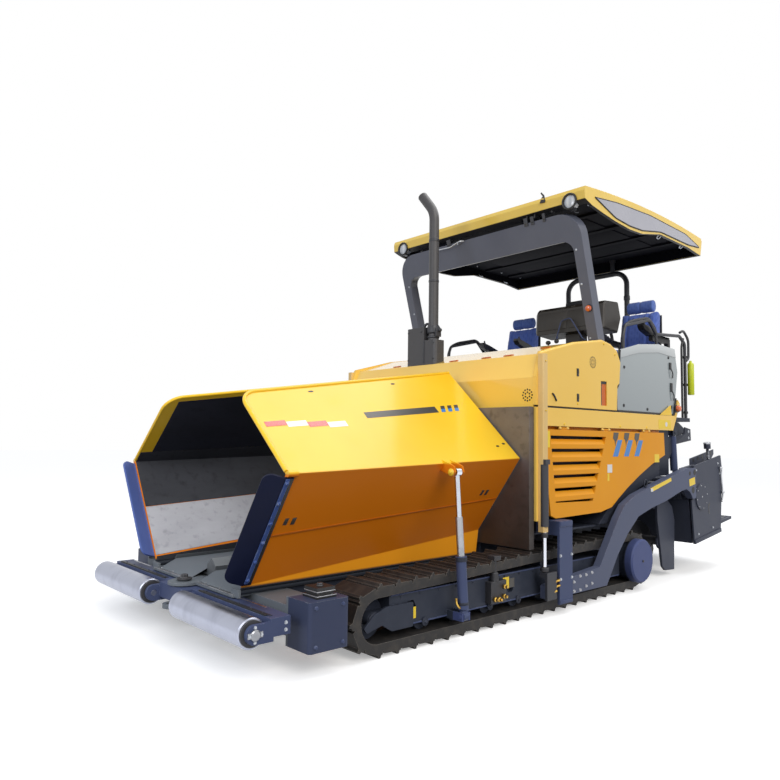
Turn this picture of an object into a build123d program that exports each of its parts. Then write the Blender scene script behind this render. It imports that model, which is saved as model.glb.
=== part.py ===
"""A tracked asphalt paver: hopper, tractor, operator's platform with canopy, and floating screed.

Millimetres. +X points forward, +Y to the machine's left, +Z up. The origin is on the ground under
the middle of the machine. Stations are distances behind the push rollers' axis, so that
back(station) is a place along X. A piece that exists on both sides is modelled on the left and
mirrored. The screed and its arms are drawn in their working pose, as (distance behind the tow
point, height), and raised() lifts them about the tow point to the transport pose.
"""

import math
import os

from build123d import *

# ---------------------------------------------------------------- driving dimensions
LENGTH = 6300
FIT = 0.3  # running gap of a pin, shaft, rod or hinge knuckle

# Push rollers and their oscillating beam
ROLLER_RADIUS = 87.5
ROLLER_Z = 292
ROLLER_INNER = 235
ROLLER_OUTER = 1112
ROLLER_SHAFT = 20
BEAM_HALF = 1150
BEAM_BACK = 232
BEAM_FRONT = 100
BEAM_BOTTOM = 262
BEAM_TOP = 365
BEAM_EAR = 25
EAR_RADIUS = 55
PIVOT_STATION = 130
PIVOT_RADIUS = 30

# Front cross-member with its end blocks and rubber bump caps
CROSS_FRONT = 300
CROSS_BACK = 560
CROSS_BOTTOM = 205
CROSS_TOP = 385
BLOCK_INNER = 1000
BLOCK_OUTER = 1240
BLOCK_BOTTOM = 146
BLOCK_TOP = 435
LIP_STATION = 165
LIP_PLATE = 13
TOW_RING_RADIUS = 62
TOW_RING_BORE = 36
TONGUE = (222, 250)  # heights of the tow tongue

# Chassis
RAIL_INNER = 550
RAIL_OUTER = 600
WALL = 25
BELLY_Z = 200
DECK_Z = 395
DECK_FRONT = 330
PLATE = 15
WALL_BACK = 4650
WALL_TOP = 1480
TUNNEL_ROOF = 980
FENDER_Z = 620
FENDER_OUTER = 1120
FENDER_BACK = 3700

# Tracks and their frames
TRACK_INNER = 855
TRACK_OUTER = 1185
IDLER_STATION = 870
IDLER_LOOP = 190
SPROCKET_STATION = 4050
SPROCKET_LOOP = 232
SHOE_COUNT = 49
SHOE_PLATE = 22
GROUSER = 20
CHAIN_DEPTH = 48
FRAME_INNER = 900
FRAME_OUTER = 1140
FRAME_WALL = 30
TRACK_ROLLER = 58
DRUM_RADIUS = 178
DRUM_COVER = 200
DRUM_FACE = 1275

# Hopper wings
HINGE_Y = 625
HINGE_Z = 406
HINGE_TUBE = 16
HINGE_PIN = 8
HINGE_PIN_LENGTH = 40
HINGE_LUG = 18
WING_FRONT = 200
WING_BACK = 2420
WING_SHEET = 12
WING_BEAD = 13
WING_CORNER = 150
WING_ROOT = (645, 425)  # (Y, Z) at the hinge
WING_FOOT_FRONT = (650, 445)
WING_FOOT_BACK = (672, 628)
FOLD_FRONT = (1127, 1166)  # the fold along the wing's widest line
FOLD_BACK = (1104, 1235)
TOP_FRONT = (538, 1664)
TOP_BACK = (324, 1969)
FLAP_BACK = 50
FLAP_REACH = 115
FLAP_TOE = 60  # how far the flap's free edge stands inwards of its wing
FLAP_THICK = 14
FLAP_CORNER = 60
FLAP_INSET = 20

# Wing cylinders, each with one hollow stage and a rod
CYL_STATION = 1580
CYL_BASE = (1265, 165)  # (Y, Z)
CYL_EYE = (1192, 1150)
CYL_PIN = 15
CYL_HALF = 25
CYL_LUG = 15
CYL_BARREL = 405
CYL_STAGE_TOP = 675
CYL_STAGE_START = 325
CYL_OVERLAP = 92
CYL_BARREL_RADIUS = 36
CYL_STAGE_RADIUS = 26
CYL_ROD_RADIUS = 19

# Wall behind the hopper, hood and side panels
BACK_WALL_FRONT = 2440
BACK_WALL_THICK = 60
BACK_WALL_HALF = 1180
BACK_WALL_TOP = 1650
GATE_TOP = 860
GATE_INNER = 62
PANEL_OUTER = 1200
PANEL_THICK = 30
BELT_BOTTOM = 1500
BELT_TOP = 1650
PANEL_BOTTOM = 1665
HOOD_PLATE = 30
HOOD_FRONT_TOP = (2600, 2090)  # (station, height) where the front bevel meets the top
HOOD_CREST = (3063, 2225)
HOOD_BACK_TOP = (3515, 2292)

# Louvre doors
DOOR_THICK = 35
DOOR_TOP = 1472
DOOR_PIN_Z = 1484
DOOR_PIN_INSET = 8
KNUCKLE = 8
KNUCKLE_STATIONS = (2900, 3560, 4300)
SLAT_COUNT = 5
SLAT_PITCH = 108

# Operator's platform
DECK_BACK = 5300
DECK_LEVEL = 1640
DECK_THICK = 40
SCREEN_THICK = 12
RAIL_TUBE = 17
RAIL_FRONT = 3974
SEAT_Y = 790
SEAT_WIDTH = 475
CUSHION_BOTTOM = 2210

# Arches and canopy
ARCH_TILT = 15.8  # degrees that the front arch leans forward
ARCH_FOOT = 3790  # station of its rear face at the deck
ARCH_HALF = 1165
ARCH_TUBE = 100
ARCH_BAR = 250
ARCH_DEPTH = 110
ARCH_TOP = 3460
CANOPY_HALF = 1244
CANOPY_WALL = 30
CANOPY_INSERT = 6
CANOPY_CEILING = 3600
FASCIA_BACK = 3240  # station of the front fascia's inner face
LAMP_Y = 1090
LAMP_Z = 3520
LAMP_RADIUS = 58
REAR_ARCH_STATION = 5400
REAR_ARCH_HALF = 400
REAR_ARCH_TOP = 3390
REAR_TUBE = 30

# Exhaust
EXHAUST_RADIUS = 48
EXHAUST_STATION = 2675
EXHAUST_Y = -125
EXHAUST_SHOULDER = 2330
EXHAUST_TOP = 2462

# Augers
AUGER_STATION = 4860
AUGER_Z = 360
AUGER_RADIUS = 190
AUGER_SHAFT = 45
AUGER_BLADE = 14
AUGER_PITCH = 300
AUGER_STEPS = 10
AUGER_TURNS = 2.9
GEARBOX_HALF = 60
LIMIT_PLATE = (1045, 1070)

# Tow arms and screed
TOW_STATION = 2620
TOW_Z = 190
TOW_PIN = 25
LIFT = 6.9  # degrees that the screed is raised from the ground
ARM_INNER = 1195
ARM_THICK = 67
ARM_OUTER = ARM_INNER + ARM_THICK
GUIDE_GAP = 6
GUIDE_PLATE = 22
EXTENSION_END = ARM_INNER + 20
END_PLATE = 18
GUIDE_BARS = ((2945, 600), (3035, 600))  # left and right extension, working pose
GUIDE_RADIUS = 32
STEP_END = 3608

# Screed lift cylinders
LIFT_Y = 1085
LIFT_TOP = (5060, 1480)  # (station, height) of the fixed pin
LIFT_EYE = (2560, 640)  # working pose
LIFT_HALF = 20
LIFT_PIN = 14
LIFT_BARREL = 400
LIFT_BARREL_RADIUS = 38
LIFT_ROD_RADIUS = 20

ROLLER_X = LENGTH / 2 - ROLLER_RADIUS
CHAIN_LINE = GROUSER + SHOE_PLATE  # height of the chain's outer line on the ground run
BACK_WALL_BACK = BACK_WALL_FRONT + BACK_WALL_THICK
PANEL_INNER = PANEL_OUTER - PANEL_THICK
DOOR_PIN_Y = PANEL_OUTER - DOOR_PIN_INSET
CONVEYOR_TOP = DECK_Z + PLATE


# ---------------------------------------------------------------- places and outlines
def back(station):
    """Place along X of a station behind the push rollers' axis."""
    return ROLLER_X - station


def placed(outline):
    """A side outline given as (station, height), as places on the X-Z plane."""
    return [(back(station), height) for station, height in outline]


def raised(outline):
    """A side outline of the screed in its working pose, lifted about the tow point."""
    tilt = math.radians(LIFT)
    points = []
    for run, height in outline:
        rise = height - TOW_Z
        station = TOW_STATION + run * math.cos(tilt) - rise * math.sin(tilt)
        points.append((back(station), TOW_Z + run * math.sin(tilt) + rise * math.cos(tilt)))
    return points


def sheet(points, thickness):
    """Closed outline of a bent sheet: one face follows the points, the other lies to their right."""
    inner = []
    for i, (a, b) in enumerate(points):
        before = points[max(i - 1, 0)]
        after = points[min(i + 1, len(points) - 1)]
        first = (a - before[0], b - before[1]) if i else (after[0] - a, after[1] - b)
        second = (after[0] - a, after[1] - b) if i < len(points) - 1 else first
        u = [c / math.hypot(*first) for c in first]
        v = [c / math.hypot(*second) for c in second]
        normal = (u[1] + v[1], -u[0] - v[0])
        scale = thickness / (normal[0] * v[1] - normal[1] * v[0])
        inner.append((a + normal[0] * scale, b + normal[1] * scale))
    return list(points) + inner[::-1]


def hood_line(station):
    """Height of the hood's top at a station on its front slope."""
    (s0, z0), (s1, z1) = HOOD_FRONT_TOP, HOOD_CREST
    return z0 + (z1 - z0) * (station - s0) / (s1 - s0)


def arch_faces(height):
    """Stations of the front arch's front and rear faces at a height."""
    tilt = math.radians(ARCH_TILT)
    rear = ARCH_FOOT - (height - DECK_LEVEL) * math.tan(tilt)
    return rear - ARCH_DEPTH / math.cos(tilt), rear


# ---------------------------------------------------------------- forms
def block(x, y, z, mode=Mode.ADD):
    """A box between two limits on each axis."""
    with Locations(tuple((a + b) / 2 for a, b in (x, y, z))):
        Box(abs(x[1] - x[0]), abs(y[1] - y[0]), abs(z[1] - z[0]), mode=mode)


def side_plate(outline, y, mode=Mode.ADD, corner=0):
    """A plate with an X-Z outline between two distances from the centre plane."""
    with BuildSketch(Plane.XZ.offset(-max(y))) as profile:
        with BuildLine():
            Polyline(*outline, close=True)
        make_face()
        if corner:
            fillet(profile.vertices(), corner)
    extrude(profile.sketch, amount=abs(y[1] - y[0]), mode=mode)


def cross_plate(outline, x, mode=Mode.ADD):
    """A plate with a Y-Z outline between two places along X."""
    with BuildSketch(Plane.YZ.offset(min(x))) as profile:
        with BuildLine():
            Polyline(*outline, close=True)
        make_face()
    extrude(profile.sketch, amount=abs(x[1] - x[0]), mode=mode)


def bar_y(x, z, radius, y, mode=Mode.ADD):
    """A round bar or hole along Y."""
    with BuildSketch(Plane.XZ.offset(-max(y))) as profile:
        with Locations((x, z)):
            Circle(radius)
    extrude(profile.sketch, amount=abs(y[1] - y[0]), mode=mode)


def bar_x(y, z, radius, x, mode=Mode.ADD):
    """A round bar or hole along X."""
    with BuildSketch(Plane.YZ.offset(min(x))) as profile:
        with Locations((y, z)):
            Circle(radius)
    extrude(profile.sketch, amount=abs(x[1] - x[0]), mode=mode)


def bar_z(x, y, radius, z, mode=Mode.ADD):
    """A round bar or hole along Z."""
    with BuildSketch(Plane.XY.offset(min(z))) as profile:
        with Locations((x, y)):
            Circle(radius)
    extrude(profile.sketch, amount=abs(z[1] - z[0]), mode=mode)


def bar_between(start, end, radius):
    """A round bar from one point to another."""
    run = Vector(*end) - Vector(*start)
    with BuildSketch(Plane(origin=start, z_dir=run.normalized())) as profile:
        Circle(radius)
    extrude(profile.sketch, amount=run.length)


def pipe(points, radius, bend):
    """A round tube along straight runs joined by bends."""
    with BuildLine() as route:
        FilletPolyline(*points, radius=bend)
    with BuildSketch(Plane(origin=route.line @ 0, z_dir=route.line % 0)) as profile:
        Circle(radius)
    sweep(profile.sketch, path=route.line)


def both_sides():
    """Adds the mirror image of everything made so far in the current part."""
    mirror(about=Plane.XZ)


# ---------------------------------------------------------------- chassis
def chassis_frame():
    rear = (back(WALL_BACK), back(BACK_WALL_BACK))
    with BuildPart() as piece:
        block((back(BACK_WALL_BACK), back(CROSS_BACK)), (RAIL_INNER, RAIL_OUTER), (BELLY_Z, DECK_Z))
        block(rear, (RAIL_INNER, RAIL_OUTER + WALL), (BELLY_Z, DECK_Z))
        block(rear, (RAIL_OUTER, RAIL_OUTER + WALL), (DECK_Z, WALL_TOP))
        fender = (back(FENDER_BACK), back(BACK_WALL_BACK))
        block(fender, (RAIL_OUTER, FENDER_OUTER), (FENDER_Z, FENDER_Z + PLATE))
        for station in (1700, 3300):
            block((back(station + 90), back(station - 90)), (RAIL_INNER, FRAME_INNER), (220, 340))
        lug = (back(WING_BACK + FIT + HINGE_LUG), back(WING_BACK + FIT))
        block(lug, (RAIL_INNER, HINGE_Y + HINGE_TUBE), (DECK_Z - 25, DECK_Z))
        block(lug, (RAIL_OUTER - 6, HINGE_Y + HINGE_TUBE), (DECK_Z, HINGE_Z + HINGE_TUBE))
        bar_x(HINGE_Y, HINGE_Z, HINGE_PIN, (back(WING_BACK + FIT), back(WING_BACK - HINGE_PIN_LENGTH)))
        both_sides()
        span = (-RAIL_OUTER, RAIL_OUTER)
        block((back(WALL_BACK), back(CROSS_BACK)), span, (BELLY_Z, BELLY_Z + PLATE))
        block(rear, span, (TUNNEL_ROOF, TUNNEL_ROOF + WALL))
        block((back(WALL_BACK), back(WALL_BACK - WALL)), span, (TUNNEL_ROOF, WALL_TOP))
    return piece


def front_crossmember():
    ends = (back(CROSS_BACK + 30), back(CROSS_FRONT))
    lip = (back(CROSS_FRONT), back(LIP_STATION))
    lip_z = (CROSS_TOP - LIP_PLATE, CROSS_TOP)
    with BuildPart() as piece:
        block(ends, (BLOCK_INNER, BLOCK_OUTER), (BLOCK_BOTTOM, BLOCK_TOP))
        fillet(piece.edges().filter_by(Axis.Z).group_by(Axis.Y)[-1], 25)
        lug = (back(WING_FRONT - FIT), back(WING_FRONT - FIT - HINGE_LUG))
        block(lug, (RAIL_INNER, HINGE_Y + HINGE_TUBE), (CROSS_TOP - LIP_PLATE, HINGE_Z + HINGE_TUBE))
        bar_x(HINGE_Y, HINGE_Z, HINGE_PIN, (back(WING_FRONT + HINGE_PIN_LENGTH), back(WING_FRONT - FIT)))
        both_sides()
        block((back(CROSS_BACK), back(CROSS_FRONT)), (-BLOCK_INNER, BLOCK_INNER), (CROSS_BOTTOM, CROSS_TOP))
        block(lip, (-RAIL_OUTER, RAIL_OUTER), lip_z)
        block((back(CROSS_FRONT), back(PIVOT_STATION)), (-110, 110), (CROSS_TOP - LIP_PLATE, CROSS_TOP + 5))
        bar_z(back(PIVOT_STATION), 0, 110, (CROSS_TOP - LIP_PLATE, CROSS_TOP + 5))
        block((back(CROSS_FRONT), back(80)), (-110, 110), TONGUE)
        bar_z(back(PIVOT_STATION), 0, PIVOT_RADIUS, (TONGUE[0], CROSS_TOP + 15))
        bar_z(back(45), 0, TOW_RING_RADIUS, TONGUE)
        bar_z(back(45), 0, TOW_RING_BORE, TONGUE, Mode.SUBTRACT)
    return piece


def bump_caps():
    middle = (BLOCK_INNER + BLOCK_OUTER) / 2
    with BuildPart() as piece:
        for half, low, high in ((72, 0, 18), (58, 18, 42), (66, 42, 62)):
            x = (back(455 + half), back(455 - half))
            block(x, (middle - half, middle + half), (BLOCK_TOP + low, BLOCK_TOP + high))
        both_sides()
    return piece


def push_beam():
    with BuildPart() as piece:
        with BuildSketch(Plane.XY.offset(BEAM_BOTTOM)) as plan:
            with BuildLine():
                Polyline(
                    (back(250), -160), (back(250), 160), (back(BEAM_BACK), BEAM_HALF),
                    (back(BEAM_FRONT), BEAM_HALF), (back(BEAM_FRONT), -BEAM_HALF),
                    (back(BEAM_BACK), -BEAM_HALF), close=True,
                )
            make_face()
        extrude(plan.sketch, amount=BEAM_TOP - BEAM_BOTTOM)
        block((back(BEAM_FRONT), back(40)), (-190, 190), (BEAM_BOTTOM, BEAM_TOP))
        for side in (1, -1):
            for inner in (BEAM_HALF - BEAM_EAR, ROLLER_INNER - BEAM_EAR - 20):
                y = (side * inner, side * (inner + BEAM_EAR))
                ear = (ROLLER_Z - EAR_RADIUS, ROLLER_Z + EAR_RADIUS)
                block((back(BEAM_FRONT + 20), ROLLER_X), y, ear)
                bar_y(ROLLER_X, ROLLER_Z, EAR_RADIUS, y)
                bar_y(ROLLER_X, ROLLER_Z, ROLLER_SHAFT + FIT, y, Mode.SUBTRACT)
            groove = (back(118), back(104))
            block(groove, (side * 260, side * 1080), (BEAM_TOP - 6, BEAM_TOP), Mode.SUBTRACT)
        bar_z(back(PIVOT_STATION), 0, PIVOT_RADIUS + FIT, (BEAM_BOTTOM, BEAM_TOP), Mode.SUBTRACT)
    return piece


def push_roller():
    with BuildPart() as piece:
        bar_y(ROLLER_X, ROLLER_Z, ROLLER_RADIUS, (ROLLER_INNER, ROLLER_OUTER))
        chamfer(piece.edges(), 6)
        bar_y(ROLLER_X, ROLLER_Z, ROLLER_SHAFT, (ROLLER_INNER - BEAM_EAR - 18, BEAM_HALF + 6))
    return piece


# ---------------------------------------------------------------- tracks
IDLER = (back(IDLER_STATION), CHAIN_LINE + IDLER_LOOP)
SPROCKET = (back(SPROCKET_STATION), CHAIN_LINE + SPROCKET_LOOP)


def loop_angles():
    """Length of each straight run and the angle of the normal on the top run."""
    gap = math.hypot(IDLER[0] - SPROCKET[0], IDLER[1] - SPROCKET[1])
    slope = math.atan2(SPROCKET[1] - IDLER[1], IDLER[0] - SPROCKET[0])
    lean = math.asin((SPROCKET_LOOP - IDLER_LOOP) / gap)
    return gap * math.cos(lean), math.pi / 2 - slope - lean


def loop_length():
    run, top = loop_angles()
    front_turn = top + math.pi / 2
    return 2 * run + IDLER_LOOP * front_turn + SPROCKET_LOOP * (2 * math.pi - front_turn)


def loop_point(distance, height):
    """A point at a distance along the chain's outer line, raised outwards by a height."""
    run, top = loop_angles()
    front_arc = IDLER_LOOP * (top + math.pi / 2)
    if distance < run:
        return SPROCKET[0] + (IDLER[0] - SPROCKET[0]) * distance / run, CHAIN_LINE - height
    if distance < run + front_arc:
        angle = -math.pi / 2 + (distance - run) / IDLER_LOOP
        centre, reach = IDLER, IDLER_LOOP + height
    elif distance < 2 * run + front_arc:
        share = (distance - run - front_arc) / run
        x = IDLER[0] + (SPROCKET[0] - IDLER[0]) * share
        z = IDLER[1] + (SPROCKET[1] - IDLER[1]) * share
        reach = IDLER_LOOP + (SPROCKET_LOOP - IDLER_LOOP) * share + height
        return x + reach * math.cos(top), z + reach * math.sin(top)
    else:
        angle = top + (distance - 2 * run - front_arc) / SPROCKET_LOOP
        centre, reach = SPROCKET, SPROCKET_LOOP + height
    return centre[0] + reach * math.cos(angle), centre[1] + reach * math.sin(angle)


def track():
    pitch = loop_length() / SHOE_COUNT
    shoe = (  # (share of the pitch, height above the chain)
        (0.00, 0), (0.03, SHOE_PLATE), (0.10, SHOE_PLATE), (0.14, SHOE_PLATE + GROUSER),
        (0.24, SHOE_PLATE + GROUSER), (0.28, SHOE_PLATE), (0.92, SHOE_PLATE - 4), (0.97, 0),
    )
    outline = [
        loop_point((index + share) * pitch, height)
        for index in range(SHOE_COUNT)
        for share, height in shoe
    ]
    with BuildPart() as piece:
        with BuildSketch(Plane.XZ.offset(-TRACK_OUTER)) as profile:
            with BuildLine():
                Polyline(*outline, close=True)
            make_face()
            with BuildSketch(mode=Mode.SUBTRACT):
                with Locations(IDLER):
                    Circle(IDLER_LOOP - CHAIN_DEPTH)
                with Locations(SPROCKET):
                    Circle(SPROCKET_LOOP - CHAIN_DEPTH)
                make_hull()
        extrude(profile.sketch, amount=TRACK_OUTER - TRACK_INNER)
    return piece


def track_frame():
    beam_front, beam_back, plate_low, plate_high = 1000, 3860, 150, 365
    inside = (FRAME_INNER + FRAME_WALL, FRAME_OUTER - FRAME_WALL)
    teeth = 19
    with BuildPart() as piece:
        block((back(beam_back), back(beam_front)), inside, (215, 350))
        block((back(beam_back), back(beam_front)), (inside[1], FRAME_OUTER), (plate_low, plate_high))
        block((back(beam_back), back(beam_front)), (FRAME_INNER, inside[0]), (plate_low, 350))
        with BuildSketch(Plane.XZ.offset(-FRAME_OUTER)) as window:
            for station in (1190, 2250):
                with Locations((back(station), 262)):
                    RegularPolygon(52, 6)
        extrude(window.sketch, amount=FRAME_WALL + 6, mode=Mode.SUBTRACT)
        nose = (
            (1200, 300), (956, 300), (850, 262), (775, 190), (800, 160), (925, 190), (1010, 140),
            (1200, 140),
        )
        side_plate(placed(nose), (FRAME_OUTER, FRAME_OUTER + 18), corner=12)
        for station in range(1320, 3700, 340):
            z = CHAIN_LINE + CHAIN_DEPTH + TRACK_ROLLER + FIT
            bar_y(back(station), z, TRACK_ROLLER, (inside[0] + 15, inside[1] - 15))
            bar_y(back(station), z, 22, (FRAME_INNER, FRAME_OUTER))
        for station in (1700, 2700):
            share = (station - IDLER_STATION) / (SPROCKET_STATION - IDLER_STATION)
            top = CHAIN_LINE + 2 * (IDLER_LOOP + (SPROCKET_LOOP - IDLER_LOOP) * share) - CHAIN_DEPTH
            bar_y(back(station), top - 38, 36, (inside[0], inside[1] + 10))
            block((back(station + 25), back(station - 25)), inside, (340, top - 60))
        bar_y(*IDLER, IDLER_LOOP - CHAIN_DEPTH - 2, (985, 1055))
        bar_y(*IDLER, 45, (inside[0], inside[1] + 20))
        for y in (inside[0] + 2, inside[1] - 50):
            block((back(beam_front + 10), IDLER[0]), (y, y + 48), (IDLER[1] - 40, IDLER[1] + 40))
        with BuildSketch(Plane.XZ.offset(-1050)) as wheel:
            with Locations(SPROCKET):
                Circle(SPROCKET_LOOP - CHAIN_DEPTH - 20)
                with PolarLocations(SPROCKET_LOOP - CHAIN_DEPTH - 20, teeth):
                    Rectangle(28, 30)
        extrude(wheel.sketch, amount=60)
        bar_y(*SPROCKET, 150, (inside[0], inside[1] + 10))
        bar_y(*SPROCKET, DRUM_RADIUS, (inside[1] - 10, TRACK_OUTER + 6))
        bar_y(*SPROCKET, DRUM_COVER, (TRACK_OUTER + 6, DRUM_FACE))
        chamfer(piece.faces().sort_by(Axis.Y)[-1].edges(), 14)
        yoke = (SPROCKET[1] - 60, SPROCKET[1] + 60)
        block((SPROCKET[0], back(3800)), (inside[0] + 2, inside[0] + 50), yoke)
        lug = (FRAME_OUTER - 1, CYL_BASE[0] + CYL_PIN + 8)
        for offset in (-CYL_HALF - FIT - CYL_LUG, CYL_HALF + FIT):
            x = back(CYL_STATION) + offset
            block((x, x + CYL_LUG), lug, (CYL_BASE[1] - 28, CYL_BASE[1] + 28))
        pin = CYL_HALF + FIT + CYL_LUG + 6
        bar_x(*CYL_BASE, CYL_PIN, (back(CYL_STATION) - pin, back(CYL_STATION) + pin))
    return piece


# ---------------------------------------------------------------- hopper
def conveyor_deck():
    ridge = ((-60, CONVEYOR_TOP), (-60, 470), (0, 520), (60, 470), (60, CONVEYOR_TOP))
    with BuildPart() as piece:
        span = (-RAIL_INNER - 40, RAIL_INNER + 40)
        block((back(WALL_BACK - 50), back(DECK_FRONT)), span, (DECK_Z, CONVEYOR_TOP))
        cross_plate(ridge, (back(BACK_WALL_FRONT - 10), back(DECK_FRONT)))
        guard = ((575, CONVEYOR_TOP), (590, CONVEYOR_TOP), (590, 440), (560, 470))
        for side in (1, -1):
            outline = [(side * y, z) for y, z in guard]
            cross_plate(outline, (back(BACK_WALL_FRONT - 30), back(DECK_FRONT)))
    return piece


def slat_conveyor():
    low = CONVEYOR_TOP
    with BuildPart() as piece:
        for y in (110, 520):
            block((back(WALL_BACK - 70), back(345)), (y, y + 30), (low, low + 22))
        for station in range(400, WALL_BACK - 90, 168):
            block((back(station), back(station - 32)), (70, 555), (low + 4, low + 30))
        both_sides()
    return piece


def wing_line(share, front, rear):
    """A point between the wing's front and rear sections."""
    return front[0] + (rear[0] - front[0]) * share, front[1] + (rear[1] - front[1]) * share


def hopper_wing():
    sections = (
        (WING_FRONT, (WING_ROOT, WING_FOOT_FRONT, FOLD_FRONT, TOP_FRONT)),
        (WING_BACK, (WING_ROOT, WING_FOOT_BACK, FOLD_BACK, TOP_BACK)),
    )
    x = (back(WING_BACK), back(WING_FRONT))
    share = (CYL_STATION - WING_FRONT) / (WING_BACK - WING_FRONT)
    fold_y, fold_z = wing_line(share, FOLD_FRONT, FOLD_BACK)
    eye_y, eye_z = CYL_EYE
    with BuildPart() as piece:
        for station, section in sections:
            with BuildSketch(Plane.YZ.offset(back(station))):
                with BuildLine():
                    Polyline(*sheet(section[::-1], WING_SHEET), close=True)
                make_face()
        loft(ruled=True)
        corners = piece.edges().filter_by(lambda edge: edge.length < 2 * WING_SHEET)
        fillet(corners.group_by(Axis.X)[-1].sort_by(Axis.Z)[-1], WING_CORNER)
        root = ((HINGE_Y - 6, HINGE_Z), (HINGE_Y + 6, HINGE_Z + 10), (650, 432), (640, 438))
        cross_plate(root, x)
        bar_x(HINGE_Y, HINGE_Z, HINGE_TUBE, x)
        for end, inner in ((back(WING_FRONT), -1), (back(WING_BACK), 1)):
            hole = (end, end + inner * (HINGE_PIN_LENGTH + 2))
            bar_x(HINGE_Y, HINGE_Z, HINGE_PIN + FIT, hole, Mode.SUBTRACT)
        bead_front = (back(WING_FRONT) - 4, *wing_line(0.03, FOLD_FRONT, TOP_FRONT))
        bead_top = (back(WING_FRONT) - 4, *TOP_FRONT)
        bead_back = (back(WING_BACK) + 8, *TOP_BACK)
        pipe((bead_front, bead_top, bead_back), WING_BEAD, WING_CORNER)
        cheek = (
            (fold_y - 40, fold_z + 28), (eye_y - 30, eye_z + 62), (eye_y + 18, eye_z + 40),
            (eye_y + 28, eye_z), (eye_y + 5, eye_z - 32), (fold_y - 37, fold_z - 50),
        )
        for offset in (-50, 35):
            place = back(CYL_STATION) + offset
            cross_plate(cheek, (place, place + CYL_LUG))
            outside = place - 6 if offset < 0 else place + CYL_LUG
            bar_x(*CYL_EYE, 24, (outside, outside + 6))
        knob = wing_line(0.02, FOLD_FRONT, FOLD_BACK)
        bar_x(knob[0] + 2, knob[1], 20, (back(WING_FRONT + 70), back(WING_FRONT)))
    return piece


def wing_flap():
    foot = WING_FOOT_FRONT
    length = math.hypot(FOLD_FRONT[0] - foot[0], FOLD_FRONT[1] - foot[1])
    along = ((FOLD_FRONT[0] - foot[0]) / length, (FOLD_FRONT[1] - foot[1]) / length)
    low_end = Plane(
        origin=(0, foot[0] + along[0] * FLAP_INSET, foot[1] + along[1] * FLAP_INSET),
        x_dir=(1, 0, 0),
        z_dir=(0, *along),
    )
    inner_face = (
        (back(WING_FRONT - FLAP_REACH), FIT - FLAP_TOE), (back(WING_FRONT - 10), FIT),
        (back(WING_FRONT + FLAP_BACK), FIT),
    )
    with BuildPart() as piece:
        with BuildSketch(low_end) as profile:
            with BuildLine():
                Polyline(*sheet(inner_face, FLAP_THICK), close=True)
            make_face()
        extrude(profile.sketch, amount=length - 2 * FLAP_INSET)
        short = piece.edges().filter_by(lambda edge: edge.length < 1.1 * FLAP_THICK)
        fillet(short.group_by(Axis.X)[-1], FLAP_CORNER)
    return piece


# Axis of a wing cylinder, from its base pin to its eye
CYL_RUN = (CYL_EYE[0] - CYL_BASE[0], CYL_EYE[1] - CYL_BASE[1])
CYL_LENGTH = math.hypot(*CYL_RUN)


def telescope(start, end, radius, bore=0):
    """A round tube or rod on a wing cylinder's axis, between two distances from its base pin."""
    dy, dz = CYL_RUN[0] / CYL_LENGTH, CYL_RUN[1] / CYL_LENGTH
    origin = (back(CYL_STATION), CYL_BASE[0] + dy * start, CYL_BASE[1] + dz * start)
    with BuildSketch(Plane(origin=origin, x_dir=(1, 0, 0), z_dir=(0, dy, dz))) as profile:
        Circle(radius)
        if bore:
            Circle(bore, mode=Mode.SUBTRACT)
    extrude(profile.sketch, amount=end - start)


def wing_cylinder_barrel():
    ends = (back(CYL_STATION) - CYL_HALF, back(CYL_STATION) + CYL_HALF)
    with BuildPart() as piece:
        telescope(64, CYL_BARREL, CYL_BARREL_RADIUS, CYL_STAGE_RADIUS + FIT)
        telescope(CYL_BARREL - 22, CYL_BARREL, CYL_BARREL_RADIUS + 5, CYL_STAGE_RADIUS + FIT)
        telescope(48, 64, CYL_BARREL_RADIUS)
        telescope(20, 48, CYL_HALF - 2)
        bar_x(*CYL_BASE, 32, ends)
        bar_x(*CYL_BASE, CYL_PIN + FIT, ends, Mode.SUBTRACT)
    return piece


def wing_cylinder_stage():
    with BuildPart() as piece:
        telescope(CYL_STAGE_START, CYL_STAGE_TOP, CYL_STAGE_RADIUS, CYL_ROD_RADIUS + FIT)
    return piece


def wing_cylinder_rod():
    ends = (back(CYL_STATION) - CYL_HALF, back(CYL_STATION) + CYL_HALF)
    with BuildPart() as piece:
        telescope(CYL_STAGE_TOP - CYL_OVERLAP, CYL_LENGTH - 20, CYL_ROD_RADIUS)
        bar_x(*CYL_EYE, 30, ends)
        bar_x(*CYL_EYE, CYL_PIN, ends, Mode.SUBTRACT)
    return piece


def hopper_back_wall():
    x = (back(BACK_WALL_BACK), back(BACK_WALL_FRONT))
    with BuildPart() as piece:
        block(x, (-BACK_WALL_HALF, BACK_WALL_HALF), (520, BACK_WALL_TOP))
        block(x, (-RAIL_OUTER, RAIL_OUTER), (CONVEYOR_TOP, BACK_WALL_TOP))
        for side in (1, -1):
            gate = (side * GATE_INNER, side * (RAIL_OUTER - 20))
            block(x, gate, (CONVEYOR_TOP, GATE_TOP), Mode.SUBTRACT)
            lip = (back(BACK_WALL_FRONT), back(BACK_WALL_FRONT - 14))
            block(lip, gate, (GATE_TOP, GATE_TOP + 90))
    return piece


# ---------------------------------------------------------------- tractor body
def engine_block():
    with BuildPart() as piece:
        block((back(3600), back(2700)), (-380, 380), (TUNNEL_ROOF + WALL, 1900))
    return piece


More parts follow.
